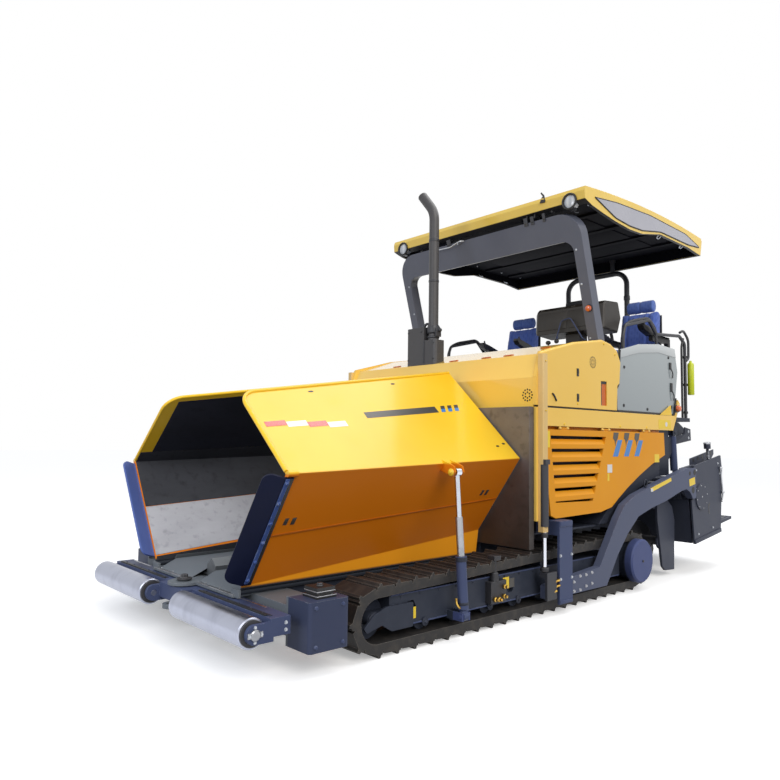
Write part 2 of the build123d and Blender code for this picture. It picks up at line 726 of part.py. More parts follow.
def hood():
    front = BACK_WALL_BACK + 5
    top = ((front, DECK_LEVEL), (front, 1890), HOOD_FRONT_TOP, HOOD_CREST, HOOD_BACK_TOP,
           (3660, 2262), (3715, 2180), (3715, DECK_LEVEL))
    with BuildPart() as piece:
        side_plate(sheet(placed(top), -HOOD_PLATE), (-PANEL_INNER, PANEL_INNER))
        low, high = DECK_LEVEL - 1, HOOD_BACK_TOP[1] + 40
        gap = 8
        slot = []
        for height in (low, high):
            front_face, rear_face = arch_faces(height)
            slot += [(front_face - gap, height), (rear_face + gap, height)]
        slot = (slot[0], slot[1], slot[3], slot[2])
        for side in (1, -1):
            width = (side * (ARCH_HALF - ARCH_TUBE - 2 * gap), side * (PANEL_INNER + 1))
            side_plate(placed(slot), width, Mode.SUBTRACT)
    return piece


def side_panel():
    front = BACK_WALL_BACK + 5
    upper = ((front, PANEL_BOTTOM), (front, 1900), (2568, 2105), (3063, 2232), (3515, 2300), (3660, 2276),
             (3770, 2222), (3818, 2140), (3795, 1922), (3759, 1892), (3745, PANEL_BOTTOM))
    belt = (
        (front, BELT_BOTTOM), (front, BELT_TOP), (4900, BELT_TOP), (4967, 1820), (5010, 1780),
        (4850, BELT_BOTTOM),
    )
    y = (PANEL_INNER, PANEL_OUTER)
    with BuildPart() as piece:
        side_plate(placed(upper), y)
        crest = piece.faces().sort_by(Axis.Y)[-1].edges().filter_by(lambda edge: edge.center().Z > 2050)
        fillet(crest, 22)
        block((back(3573), back(3475)), (PANEL_OUTER - 10, PANEL_OUTER), (1700, 1920), Mode.SUBTRACT)
        side_plate(placed(belt), y)
        block((back(2600), back(front)), y, (740, BELT_BOTTOM))
        for station in KNUCKLE_STATIONS:
            for side in (-1, 1):
                near = back(station) + side * (40 + FIT)
                far = near + side * 30
                bar_x(DOOR_PIN_Y, DOOR_PIN_Z, KNUCKLE, (near, far))
                block((near, far), (DOOR_PIN_Y - 4, DOOR_PIN_Y + 4), (DOOR_PIN_Z + 4, BELT_BOTTOM))
    return piece


def louvre_door():
    outline = ((2622, DOOR_TOP), (2622, 1263), (2702, 770), (2771, 745), (3456, 756), (3641, 789),
               (3760, 862), (3920, 950), (4154, 1063), (4400, 1165), (4663, 1251), (4646, DOOR_TOP))
    window = ((2701, 1422), (3551, 1419), (3328, 859), (2772, 871))
    y = (PANEL_OUTER - DOOR_THICK, PANEL_OUTER)
    with BuildPart() as piece:
        side_plate(placed(outline), y)
        side_plate(placed(window), y, Mode.SUBTRACT)
        for index in range(SLAT_COUNT):
            low = 880 + index * SLAT_PITCH
            front = 2771 - (low - 871) * 71 / 551
            rear = 3328 + (low - 859) * 223 / 560
            slat = (
                (y[0] + 4, low + 84), (y[0] + 4, low + 76), (y[1] - 4, low), (y[1], low + 4),
                (y[1], low + 40),
            )
            cross_plate(slat, (back(rear + 26), back(front - 26)))
        for station in KNUCKLE_STATIONS:
            x = (back(station) - 40, back(station) + 40)
            bar_x(DOOR_PIN_Y, DOOR_PIN_Z, KNUCKLE, x)
            block(x, (DOOR_PIN_Y - 4, DOOR_PIN_Y + 4), (DOOR_TOP - 2, DOOR_PIN_Z))
    return piece


def arch_panels():
    outline = ((3500, 640), (3700, 800), (3960, 985), (4300, 1110), (4640, 1200), (4640, 1050),
               (4300, 960), (4000, 850), (3800, 640))
    with BuildPart() as piece:
        side_plate(placed(outline), (RAIL_OUTER + WALL, 1150))
        both_sides()
    return piece


def tow_guides():
    x = (back(2870), back(2690))
    face = (ARM_OUTER + GUIDE_GAP, ARM_OUTER + GUIDE_GAP + GUIDE_PLATE)
    with BuildPart() as piece:
        block(x, face, (80, 735))
        block(x, (FENDER_OUTER, face[0]), (FENDER_Z, 735))
        block(x, (FENDER_OUTER - 60, FENDER_OUTER), (FENDER_Z + PLATE, 735))
        both_sides()
    return piece


def levelling_cylinders():
    x, y = back(2560), PANEL_OUTER + 36
    outer = (ARM_OUTER + FIT, ARM_OUTER + GUIDE_PLATE)
    with BuildPart() as piece:
        bar_z(x, y, 34, (700, 1190))
        bar_z(x, y, 17, (320, 700))
        block((x - 30, x + 30), (PANEL_OUTER, y + 36), (1190, 1230))
        block((x - 100, x + 30), outer, (130, 345))
        block((x - 30, x + 30), (y - 24, outer[1]), (305, 345))
        bar_y(back(TOW_STATION), TOW_Z, TOW_PIN, (ARM_INNER - 5, outer[0]))
        both_sides()
    return piece


# ---------------------------------------------------------------- platform
def platform_deck():
    floor = (DECK_LEVEL - DECK_THICK, DECK_LEVEL)
    top_x, top_z = back(LIFT_TOP[0]), LIFT_TOP[1]
    with BuildPart() as piece:
        block((back(WALL_BACK), back(BACK_WALL_BACK)), (RAIL_OUTER, RAIL_OUTER + WALL), (WALL_TOP, floor[0]))
        for y in (LIFT_Y - LIFT_HALF - FIT - 15, LIFT_Y + LIFT_HALF + FIT):
            block((top_x - 45, top_x + 45), (y, y + 15), (top_z - 30, floor[0]))
        bar_y(top_x, top_z, LIFT_PIN, (LIFT_Y - LIFT_HALF - 20, LIFT_Y + LIFT_HALF + 20))
        hanger = ((WALL_BACK, floor[0]), (WALL_BACK, 1090), (4760, 1040), (4850, 1040), (4850, floor[0]))
        side_plate(placed(hanger), (980, 1000))
        block((back(4850), back(WALL_BACK)), (RAIL_OUTER, 1000), (1050, 1075))
        bracket = (
            (5240, 1600), (5240, 1510), (5560, 1400), (5610, 1400), (5610, 1525), (5560, 1525), (5400, 1600),
        )
        side_plate(placed(bracket), (980, 995))
        for station in (5575, 5490):
            bar_y(back(station), 1465, 18, (980, 995), Mode.SUBTRACT)
        both_sides()
        block((back(DECK_BACK), back(BACK_WALL_BACK + 5)), (-PANEL_INNER, PANEL_INNER), floor)
        block((back(3700), back(2600)), (-450, 450), floor, Mode.SUBTRACT)
        for side in (1, -1):
            arm = (side * (REAR_ARCH_HALF - 45), side * (REAR_ARCH_HALF + 45))
            block((back(REAR_ARCH_STATION + 45), back(DECK_BACK)), arm, floor)
            block((back(DECK_BACK + 15), back(DECK_BACK)), (side * 220, side * 235), (1150, DECK_LEVEL))
        for z in (1165, 1400):
            block((back(DECK_BACK + 95), back(DECK_BACK)), (-235, 235), (z, z + 12))
    return piece


def side_screens():
    outline = ((3829, 2240), (4187, 2328), (4593, 2369), (4941, 2352), (5000, 2115), (4945, 1835),
               (4898, BELT_TOP), (3760, BELT_TOP), (3760, 1860), (3800, 1900))
    with BuildPart() as piece:
        side_plate(placed(outline), (PANEL_INNER, PANEL_INNER + SCREEN_THICK))
        both_sides()
    return piece


def handrails():
    rail = (
        (RAIL_FRONT, DECK_LEVEL), (RAIL_FRONT, 2400), (4015, 2499), (4490, 2608), (4632, 2480),
        (5144, 2517), (5270, 2444), (5270, DECK_LEVEL),
    )
    with BuildPart() as piece:
        pipe([(back(s), 1140, z) for s, z in rail], RAIL_TUBE, 60)
        both_sides()
    return piece


def console():
    cover = ((3850, 2470), (3866, 2715), (3900, 2745), (4130, 2760), (4180, 2600), (4120, 2450))
    with BuildPart() as piece:
        side_plate(placed(cover), (190, 1010))
        ends = piece.faces().sort_by(Axis.Y)
        chamfer(ends[0].edges(), 45)
        chamfer(ends[-1].edges(), 15)
        post = ((3950, DECK_LEVEL), (3950, 2480), (4090, 2480), (4090, DECK_LEVEL))
        side_plate(placed(post), (520, 680))
        block((back(4160), back(3900)), (450, 750), (DECK_LEVEL, DECK_LEVEL + 25))
    return piece


def above_cushion(outline):
    """A seat's side outline given as (station, height above the cushion's underside)."""
    return placed([(station, CUSHION_BOTTOM + height) for station, height in outline])


def seat_frames():
    half = SEAT_WIDTH / 2
    pedestal = ((4650, DECK_LEVEL), (4700, CUSHION_BOTTOM), (5050, CUSHION_BOTTOM), (5050, DECK_LEVEL))
    arm = ((4680, 215), (4680, 265), (5060, 265), (5060, -65), (5012, -65), (5012, 215))
    with BuildPart() as piece:
        side_plate(placed(pedestal), (SEAT_Y - 140, SEAT_Y + 140))
        for y in (SEAT_Y - half - 52, SEAT_Y + half + 7):
            side_plate(above_cushion(arm), (y, y + 45))
        cross_bar = (SEAT_Y - half - 52, SEAT_Y + half + 52)
        block((back(5060), back(5012)), cross_bar, (CUSHION_BOTTOM - 65, CUSHION_BOTTOM - 20))
        both_sides()
    return piece


def seat():
    half = SEAT_WIDTH / 2
    base = ((4480, 15), (4500, 125), (4860, 115), (5000, 70), (5000, 0), (4520, 0))
    back_rest = ((4985, 75), (5040, 577), (4945, 590), (4872, 150), (4905, 75))
    head_rest = (CUSHION_BOTTOM + 570, CUSHION_BOTTOM + 715)
    with BuildPart() as piece:
        side_plate(above_cushion(base), (SEAT_Y - half, SEAT_Y + half), corner=12)
        side_plate(above_cushion(back_rest), (SEAT_Y - half + 15, SEAT_Y + half - 15), corner=15)
        block((back(5046), back(4952)), (SEAT_Y - 125, SEAT_Y + 125), head_rest)
    return piece


def rops_arch():
    tilt = math.radians(ARCH_TILT)
    height = (ARCH_TOP - DECK_LEVEL) / math.cos(tilt)
    frame = Plane(
        origin=(back(ARCH_FOOT), 0, DECK_LEVEL),
        x_dir=(0, 1, 0),
        z_dir=(math.cos(tilt), 0, -math.sin(tilt)),
    )
    outer = (ARCH_HALF, 0, height, 220, Mode.ADD)
    inner = (ARCH_HALF - ARCH_TUBE, -10, height - ARCH_BAR, 110, Mode.SUBTRACT)
    with BuildPart() as piece:
        with BuildSketch(frame) as arch:
            for half, low, high, bend, mode in (outer, inner):
                with BuildSketch(mode=mode) as ring:
                    with Locations((0, (low + high) / 2)):
                        Rectangle(2 * half, high - low)
                    fillet(ring.vertices().group_by(Axis.Y)[-1], bend)
        extrude(arch.sketch, amount=ARCH_DEPTH)
        front, rear = arch_faces(DECK_LEVEL)
        for side in (1, -1):
            foot = (side * (ARCH_HALF - ARCH_TUBE - 10), side * ARCH_HALF)
            block((back(rear + 20), back(front - 10)), foot, (DECK_LEVEL, DECK_LEVEL + 14))
        under = (back(ARCH_FOOT + 200), back(ARCH_FOOT - 300))
        block(under, (-1200, 1200), (DECK_LEVEL - 200, DECK_LEVEL), Mode.SUBTRACT)
    return piece


def rear_arch():
    x = back(REAR_ARCH_STATION)
    with BuildPart() as piece:
        route = [(x, -REAR_ARCH_HALF, DECK_LEVEL), (x, -REAR_ARCH_HALF, REAR_ARCH_TOP),
                 (x, REAR_ARCH_HALF, REAR_ARCH_TOP), (x, REAR_ARCH_HALF, DECK_LEVEL)]
        pipe(route, REAR_TUBE, 150)
        for y in (-REAR_ARCH_HALF + 180, REAR_ARCH_HALF - 180):
            bar_between((x, y, REAR_ARCH_TOP), (x, y, CANOPY_CEILING - 40), REAR_TUBE - 4)
    return piece


def canopy_outline():
    """Side view of the roof: a crowned top, a low front, and skirts with a wavy lower edge."""
    skirt = (
        (5506, 3600), (5467, 3435), (5175, 3468), (4548, 3480), (4179, 3407), (3941, 3400),
        (3675, 3420), (3467, 3447), (3284, 3477), (3165, 3515), (3160, 3590),
    )
    front, crown, rear = (3172, 3628), (4330, 3682), (5490, 3630)
    with BuildLine() as outline:
        ThreePointArc(*placed((front, crown, rear)))
        Polyline(*placed((rear,) + skirt + (front,)))
    return outline.line


def canopy_shell():
    inside = CANOPY_HALF - CANOPY_WALL
    with BuildPart() as piece:
        with BuildSketch(Plane.XZ.offset(-CANOPY_HALF)) as profile:
            add(canopy_outline())
            make_face()
        extrude(profile.sketch, amount=2 * CANOPY_HALF)
        block((back(5440), back(FASCIA_BACK)), (-inside, inside), (3350, CANOPY_CEILING), Mode.SUBTRACT)
        for side in (1, -1):
            hole = (back(FASCIA_BACK - 8), back(3100))
            bar_x(side * LAMP_Y, LAMP_Z, LAMP_RADIUS + 1, hole, Mode.SUBTRACT)
    return piece


def canopy_inserts():
    leaf = ((3330, 3560), (3700, 3600), (4330, 3625), (5100, 3600), (5440, 3520), (5175, 3497), (4548, 3505),
            (4179, 3440), (3941, 3432), (3675, 3452))
    with BuildPart() as piece:
        side_plate(placed(leaf), (CANOPY_HALF, CANOPY_HALF + CANOPY_INSERT))
        both_sides()
    return piece


def canopy_liner():
    inside = CANOPY_HALF - CANOPY_WALL - 2
    with BuildPart() as piece:
        block((back(5438), back(FASCIA_BACK + 2)), (-inside, inside), (CANOPY_CEILING - 40, CANOPY_CEILING))
        for station in (3700, 4200, 4700, 5150):
            rib = (back(station + 30), back(station - 30))
            block(rib, (-inside + 60, inside - 60), (CANOPY_CEILING - 62, CANOPY_CEILING - 40))
        rear = arch_faces(ARCH_TOP)[1]
        top = CANOPY_CEILING - 39
        ahead = FASCIA_BACK + 5
        drop = (rear - ahead) * math.tan(math.radians(ARCH_TILT))
        mount = ((rear, ARCH_TOP), (ahead, ARCH_TOP - drop), (ahead, top), (rear + 120, top))
        for side in (1, -1):
            side_plate(placed(mount), (side * 500, side * 700))
    return piece


def lamps():
    with BuildPart() as piece:
        bar_x(LAMP_Y, LAMP_Z, LAMP_RADIUS, (back(FASCIA_BACK - 8 - FIT), back(3168)))
        both_sides()
    return piece


def exhaust_box():
    front, rear = EXHAUST_STATION - 70, EXHAUST_STATION + 70
    foot = ((rear, hood_line(rear)), (front, hood_line(front)))
    parts = ((-430, EXHAUST_Y - 60, EXHAUST_TOP), (EXHAUST_Y - 60, -30, EXHAUST_SHOULDER))
    with BuildPart() as piece:
        for right, left, top in parts:
            side_plate(placed(foot + ((front, top), (rear, top))), (right, left))
        upright = piece.edges().filter_by(Axis.Z).group_by(Axis.Y)
        fillet(upright[0] + upright[-1], 35)
    return piece


def exhaust_pipe():
    x, low = back(EXHAUST_STATION), EXHAUST_SHOULDER
    with BuildPart() as piece:
        pipe([(x, EXHAUST_Y, low), (x, EXHAUST_Y, 3600), (x, EXHAUST_Y - 165, 3798)], EXHAUST_RADIUS, 230)
        bar_z(x, EXHAUST_Y, EXHAUST_RADIUS + 5, (low, low + 20))
        for z in (low + 90, low + 130):
            bar_z(x, EXHAUST_Y, EXHAUST_RADIUS + 8, (z, z + 14))
    return piece


# ---------------------------------------------------------------- augers
def auger_frame():
    limit = (
        (4745, 790), (4745, 600), (4840, 110), (4900, 60), (5095, 50), (5115, 560), (5070, 700), (4950, 790),
    )
    with BuildPart() as piece:
        side_plate(placed(limit), LIMIT_PLATE)
        bar_y(back(AUGER_STATION), AUGER_Z, 80, (LIMIT_PLATE[0] - 20, LIMIT_PLATE[0]))
        block((back(4735), back(WALL_BACK)), (RAIL_OUTER, RAIL_OUTER + 80), (700, 1000))
        both_sides()
        block((back(4760), back(4700)), (-LIMIT_PLATE[0], LIMIT_PLATE[0]), (700, 780))
        block((back(4760), back(4655)), (-GEARBOX_HALF, GEARBOX_HALF), (560, 780))
        block((back(4930), back(4655)), (-GEARBOX_HALF, GEARBOX_HALF), (190, 560))
    return piece


def auger():
    x, z = back(AUGER_STATION), AUGER_Z
    near, far = GEARBOX_HALF + FIT, LIMIT_PLATE[0] - 20 - FIT
    root = AUGER_SHAFT - 6
    with BuildPart() as piece:
        for index in range(round(AUGER_TURNS * AUGER_STEPS) + 1):
            angle = math.radians(360 / AUGER_STEPS * index)
            y = near + 40 + AUGER_PITCH * index / AUGER_STEPS
            plane = Plane(
                origin=(x, y, z),
                x_dir=(math.cos(angle), 0, math.sin(angle)),
                z_dir=(math.sin(angle), 0, -math.cos(angle)),
            )
            with BuildSketch(plane):
                with Locations(((root + AUGER_RADIUS) / 2, 0)):
                    Rectangle(AUGER_RADIUS - root, AUGER_BLADE)
        loft(ruled=True)
        bar_y(x, z, AUGER_SHAFT, (near, far))
    return piece


# ---------------------------------------------------------------- screed
def tow_arm():
    upper = ((3640, 690), (3760, 805), (3950, 885), (4258, 955), (4845, 1076), (5040, 1118), (5216, 1112))
    lower = ((5216, 800), (5140, 795), (5075, 868), (5000, 900), (4886, 887), (4559, 805), (4253, 750),
             (4004, 688), (3805, 545), (3632, 377), (3440, 130), (2560, 130), (2560, 240), (3330, 300))
    with BuildPart() as piece:
        side_plate(placed(upper + lower), (ARM_INNER, ARM_OUTER), corner=16)
        bar_y(back(TOW_STATION), TOW_Z, TOW_PIN + FIT, (ARM_INNER, ARM_OUTER), Mode.SUBTRACT)
    return piece


def screed_body():
    main = ((2625, 3), (2895, 3), (2895, 330), (2840, 520), (2660, 520), (2605, 465))
    cheek = ((2520, 560), (2640, 480), (2800, 480), (2800, 811), (2520, 811))
    bridge = ((2700, 515), (2860, 440), (3090, 545), (3090, 645), (2900, 645), (2760, 560))
    with BuildPart() as piece:
        side_plate(raised(cheek), (ARM_INNER - 35, ARM_INNER))
        for x, z in raised(((2600, 720), (2700, 740))):
            bar_y(x, z, 26, (ARM_INNER - 35, ARM_INNER), Mode.SUBTRACT)
        for y in (150, ARM_INNER - 95):
            side_plate(raised(bridge), (y, y + 30))
            for x, z in raised(GUIDE_BARS):
                bar_y(x, z, GUIDE_RADIUS + FIT, (y, y + 30), Mode.SUBTRACT)
        eye_x, eye_z = raised((LIFT_EYE,))[0]
        for y in (LIFT_Y - LIFT_HALF - 8 - 15, LIFT_Y + LIFT_HALF + 8):
            lug = raised(((2610, 460), (2660, 510), (2600, 670), (2532, 670), (2528, 610)))
            side_plate(lug, (y, y + 15))
        both_sides()
        side_plate(raised(main), (-ARM_INNER, ARM_INNER))
        spine = ((2680, 519), (2790, 519), (2790, 600), (2680, 600))
        side_plate(raised(spine), (115 - ARM_INNER, ARM_INNER - 115))
    return piece


def screed_extension(bar, far_end):
    """One extension with the guide bar that carries it, out to the far end across the centre."""
    body = ((2915, 3), (3240, 3), (3240, 300), (3170, 420), (2990, 420), (2915, 330))
    end = ((2605, 3), (3259, 3), (3405, 668), (3391, 838), (2712, 811), (2668, 480), (2605, 465))
    outer = EXTENSION_END + END_PLATE
    with BuildPart() as piece:
        side_plate(raised(body), (12, EXTENSION_END))
        side_plate(raised(end), (EXTENSION_END, outer))
        cover = raised(((2830, 465),))[0]
        bar_y(*cover, 140, (outer, outer + 12))
        side_plate(raised(((3239, 80), (STEP_END, 80), (STEP_END, 110), (3239, 110))), (12, EXTENSION_END))
        x, z = raised((bar,))[0]
        bar_y(x, z, GUIDE_RADIUS, (far_end, EXTENSION_END))
        hanger = ((2985, 400), (3095, 400), (3095, 645), (2900, 645))
        side_plate(raised(hanger), (EXTENSION_END - 25, EXTENSION_END))
        gusset = ((3160, 400), (3230, 300), (3240, 640), (3160, 640))
        side_plate(raised(gusset), (EXTENSION_END - 80, EXTENSION_END))
        for start, finish, radius in ((640, 960, 15), (640, 760, 26), (935, 985, 36)):
            low, high = raised(((3200, start), (3200, finish)))
            bar_between((low[0], EXTENSION_END - 40, low[1]), (high[0], EXTENSION_END - 40, high[1]), radius)
    return piece


def lift_run(start, end, radius, bore=0):
    """A round tube or rod on a lift cylinder's axis, between two distances from its fixed pin."""
    top, eye = placed((LIFT_TOP,))[0], raised((LIFT_EYE,))[0]
    length = math.hypot(eye[0] - top[0], eye[1] - top[1])
    ux, uz = (eye[0] - top[0]) / length, (eye[1] - top[1]) / length
    origin = (top[0] + ux * start, LIFT_Y, top[1] + uz * start)
    with BuildSketch(Plane(origin=origin, x_dir=(0, 1, 0), z_dir=(ux, 0, uz))) as profile:
        Circle(radius)
        if bore:
            Circle(bore, mode=Mode.SUBTRACT)
    extrude(profile.sketch, amount=(end or length - 20) - start)


def lift_barrel():
    pivot = placed((LIFT_TOP,))[0]
    ends = (LIFT_Y - LIFT_HALF, LIFT_Y + LIFT_HALF)
    with BuildPart() as piece:
        lift_run(20, 70, LIFT_BARREL_RADIUS)
        lift_run(70, LIFT_BARREL, LIFT_BARREL_RADIUS, LIFT_ROD_RADIUS + FIT)
        side = (ends[0] - 30, ends[0])
        block((pivot[0] - 60, pivot[0] + 60), side, (pivot[1] - 40, pivot[1] + 60), Mode.SUBTRACT)
        side = (ends[1], ends[1] + 30)
        block((pivot[0] - 60, pivot[0] + 60), side, (pivot[1] - 40, pivot[1] + 60), Mode.SUBTRACT)
        bar_y(*pivot, 32, ends)
        bar_y(*pivot, LIFT_PIN + FIT, ends, Mode.SUBTRACT)
    return piece


def lift_rod():
    eye = raised((LIFT_EYE,))[0]
    with BuildPart() as piece:
        lift_run(90, None, LIFT_ROD_RADIUS)
        bar_y(*eye, 28, (LIFT_Y - LIFT_HALF, LIFT_Y + LIFT_HALF))
        bar_y(*eye, LIFT_PIN, (LIFT_Y - LIFT_HALF, LIFT_Y + LIFT_HALF), Mode.SUBTRACT)
    return piece


# ---------------------------------------------------------------- writing
WHOLE = (
    chassis_frame, front_crossmember, bump_caps, push_beam, conveyor_deck, slat_conveyor, hopper_back_wall,
    engine_block, hood, arch_panels, tow_guides, levelling_cylinders, platform_deck, side_screens, handrails,
    console, seat_frames, rops_arch, rear_arch, canopy_shell, canopy_inserts, canopy_liner, lamps,
    exhaust_box, exhaust_pipe, auger_frame, screed_body,
)
PAIRED = (
    push_roller, track, track_frame, hopper_wing, wing_flap, wing_cylinder_barrel, wing_cylinder_stage,
    wing_cylinder_rod, side_panel, louvre_door, seat, auger, tow_arm, lift_barrel, lift_rod,
)


def save(name, shape):
    """Writes one named piece."""
    shape.label = name
    export_step(shape, f"parts/{name}.step")


def save_right(name, left):
    """Writes the mirror image of a left-hand piece."""
    with BuildPart() as right:
        mirror(left, about=Plane.XZ)
    save(name, right.part)


os.makedirs("parts", exist_ok=True)
for build in WHOLE:
    save(build.__name__, build().part)
for build in PAIRED:
    left_piece = build().part
    save(f"{build.__name__}_left", left_piece)
    save_right(f"{build.__name__}_right", left_piece)
far = -(EXTENSION_END - 45)
save("screed_extension_left", screed_extension(GUIDE_BARS[0], far).part)
save_right("screed_extension_right", screed_extension(GUIDE_BARS[1], far).part)
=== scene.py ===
import math

import bmesh
import bpy
from mathutils import Matrix, Vector, noise


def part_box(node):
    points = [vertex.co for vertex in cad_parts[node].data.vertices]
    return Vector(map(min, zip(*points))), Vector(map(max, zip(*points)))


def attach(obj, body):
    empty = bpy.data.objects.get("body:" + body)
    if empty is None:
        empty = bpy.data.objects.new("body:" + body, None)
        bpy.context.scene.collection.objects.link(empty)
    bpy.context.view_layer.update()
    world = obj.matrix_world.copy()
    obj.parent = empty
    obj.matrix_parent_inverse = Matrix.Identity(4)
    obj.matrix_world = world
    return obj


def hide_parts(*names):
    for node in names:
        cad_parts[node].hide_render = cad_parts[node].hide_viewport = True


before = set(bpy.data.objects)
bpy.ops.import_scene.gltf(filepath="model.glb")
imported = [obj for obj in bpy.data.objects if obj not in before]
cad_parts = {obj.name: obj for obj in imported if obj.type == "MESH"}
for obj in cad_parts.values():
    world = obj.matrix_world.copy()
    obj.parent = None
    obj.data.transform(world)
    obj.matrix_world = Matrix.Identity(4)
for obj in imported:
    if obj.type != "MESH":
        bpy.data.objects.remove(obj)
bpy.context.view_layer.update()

NOSE_X = 3.0625  # X of station 0, the line from which the machine is set out rearwards
ALONG, OUT, UP, AHEAD = Vector((-1, 0, 0)), Vector((0, 1, 0)), Vector((0, 0, 1)), Vector((1, 0, 0))


def at(station, y, z):
    """A point of the machine: metres behind station 0, to the left, and above the ground."""
    return Vector((NOSE_X - station, y, z))


# ---- finishes
def linear(colour):
    """An sRGB hex colour as linear light."""
    channels = [int(colour[k:k + 2], 16) / 255 for k in (1, 3, 5)]
    return [c / 12.92 if c <= 0.04045 else ((c + 0.055) / 1.055) ** 2.4 for c in channels] + [1.0]


def per_metre(size_mm):
    """The texture scale at which one feature of a pattern measures size_mm."""
    return 1000 / size_mm


class Recipe:
    """The nodes of a material or world in the making. Sizes of patterns are in mm."""

    def __init__(self, owner):
        owner.use_nodes = True
        self.owner, self.tree = owner, owner.node_tree
        self.tree.nodes.clear()

    def node(self, kind, inputs=None, output=0, **settings):
        """One output of a new node with its settings. An input that is a socket is linked to it."""
        made = self.tree.nodes.new("ShaderNode" + kind)
        for name, value in settings.items():
            setattr(made, name, value)
        for name, value in (inputs or {}).items():
            if isinstance(value, bpy.types.NodeSocket):
                self.tree.links.new(value, made.inputs[name])
            else:
                made.inputs[name].default_value = value
        return made.outputs[output] if made.outputs else None

    def math(self, operation, *values):
        return self.node("Math", dict(enumerate(values)), operation=operation)

    def spread(self, value, start, end, low=0.0, high=1.0):
        """A value between start and end brought between low and high, and kept there."""
        return self.node("MapRange", {0: value, 1: start, 2: end, 3: low, 4: high})

    def level(self, share, low, high):
        """A share from 0 to 1 brought between two values."""
        return self.spread(share, 0.0, 1.0, low, high)

    def along(self, axis):
        """The place on the object along X, Y or Z, in metres."""
        return self.node("SeparateXYZ", {0: self.place}, axis)

    def cloud(self, size, detail=3.0, stretch=(1, 1, 1), harden=None):
        """Soft random patches, drawn out along an axis where the stretch is under 1."""
        drawn = self.node("Mapping", {"Vector": self.place, "Scale": stretch})
        patches = self.node("TexNoise", {"Vector": drawn, "Scale": per_metre(size), "Detail": detail})
        return self.spread(patches, *harden) if harden else patches

    def cells(self, size, output=0, **settings):
        """A pattern of cells packed side by side."""
        return self.node("TexVoronoi", {"Vector": self.place, "Scale": per_metre(size)}, output, **settings)

    def ribs(self, size, direction, **inputs):
        """Straight ribs side by side."""
        return self.node("TexWave", {"Vector": self.place, "Scale": per_metre(size) / 20, **inputs},
                         bands_direction=direction)

    def tint(self, share, first, second):
        """One colour turning to another by a share from 0 to 1. Each is a hex colour or a socket."""
        ends = [linear(c) if isinstance(c, str) else c for c in (first, second)]
        return self.node("Mix", {0: share, 6: ends[0], 7: ends[1]}, 2, data_type="RGBA")

    def relief(self, height, depth, strength=1.0, over=None):
        """Bumps of that depth, laid over a surface whose edges are rounded where one is given."""
        inputs = {"Height": height, "Distance": depth / 1000, "Strength": strength}
        return self.node("Bump", {**inputs, "Normal": over} if over else inputs)

    def eased(self, radius=4):
        """The small round that folding, grinding and paint leave on every edge."""
        return self.node("Bevel", {"Radius": radius / 1000}, samples=4)

    def edge_share(self, rounded):
        """1 on an edge and 0 on a flat face, from how far the rounded normal turns from the face's own."""
        face = self.node("NewGeometry", None, "Normal")
        turn = self.node("VectorMath", {0: rounded, 1: face}, "Value", operation="DOT_PRODUCT")
        return self.spread(turn, 0.995, 0.93)

    def low_down(self, top):
        """1 at the ground and 0 above that height, for dust thrown up from the road and for painted shade at
        the foot of the hopper's back wall.
        """
        return self.spread(self.along(2), 0.0, top, 1.0, 0.0)

    def below_line(self, rise, height):
        """1 below a line on a wing and 0 above it. The line passes X = 0 at that height and rises towards
        the rear by that many metres a metre."""
        tall = self.node("SeparateXYZ", {0: self.place}).node.outputs
        above = self.math("ADD", tall[2], self.math("MULTIPLY", tall[0], rise))
        return self.spread(above, height + 0.007, height - 0.007)

    def shader(self, colour, roughness, normal=None, **more):
        """Ends the nodes in their shader and output. More inputs are named as the shader's sockets."""
        inputs = {"Base Color": colour, "Roughness": roughness, **({"Normal": normal} if normal else {})}
        inputs.update((SOCKETS[name], value) for name, value in more.items())
        self.node("OutputMaterial", {"Surface": self.node("BsdfPrincipled", inputs)})
        return self.owner


SOCKETS = {"metallic": "Metallic", "ior": "IOR", "specular": "Specular IOR Level", "coat": "Coat Weight",
           "coat_roughness": "Coat Roughness", "anisotropic": "Anisotropic", "sheen": "Sheen Weight",
           "sheen_roughness": "Sheen Roughness"}


def start(name):
    """The recipe of a new material."""
    mix = Recipe(bpy.data.materials.new(name))
    mix.place = mix.node("TexCoord", None, "Object")
    return mix


def sprayed_enamel(name, colour, deeper, roughness=0.34, coat=0.12, specular=0.3, lower=None, lowest=None):
    """Two-pack enamel sprayed on folded sheet steel and baked: one level, wet-looking colour that pools a
    little deeper in places, a faint orange peel in what it reflects, and soft rounds on the folds. Real
    orange peel is about 3 mm across; it is drawn at 16 mm so that it shows. The lower colours are for the
    wings: a deeper, duller orange below the fold that is painted shade on the panel facing down, a brighter
    one below the foot line, and a dark grey at the hinge under it that is painted shade in the gap there."""
    mix = start("sprayed_enamel_" + name)
    peel = mix.relief(mix.cloud(16, 1.0), 0.12, 0.35, mix.eased(5))
    paint = mix.tint(mix.level(mix.cloud(620, harden=(0.35, 0.7)), 0.0, 0.6), colour, deeper)
    # painted shade: below the fold the paint turns a deeper orange for the shadow on the wing's underside,
    # and dark grey at the hinge for the gap there
    if lower:
        underside = mix.below_line(0.0311, 1.255)
        for under, shade in ((underside, lower), (mix.below_line(0.0824, 0.681), lowest),
                             (mix.below_line(0.0, 0.442), "#2C3038")):
            paint = mix.tint(under, paint, shade)
        coat, specular = mix.level(underside, coat, 0.0), mix.level(underside, specular, 0.1)
    scuffed = mix.level(mix.cloud(240, 8.0, harden=(0.56, 0.8)), roughness, roughness + 0.14)
    return mix.shader(paint, scuffed, peel, ior=1.5, specular=specular, coat=coat, coat_roughness=0.12)


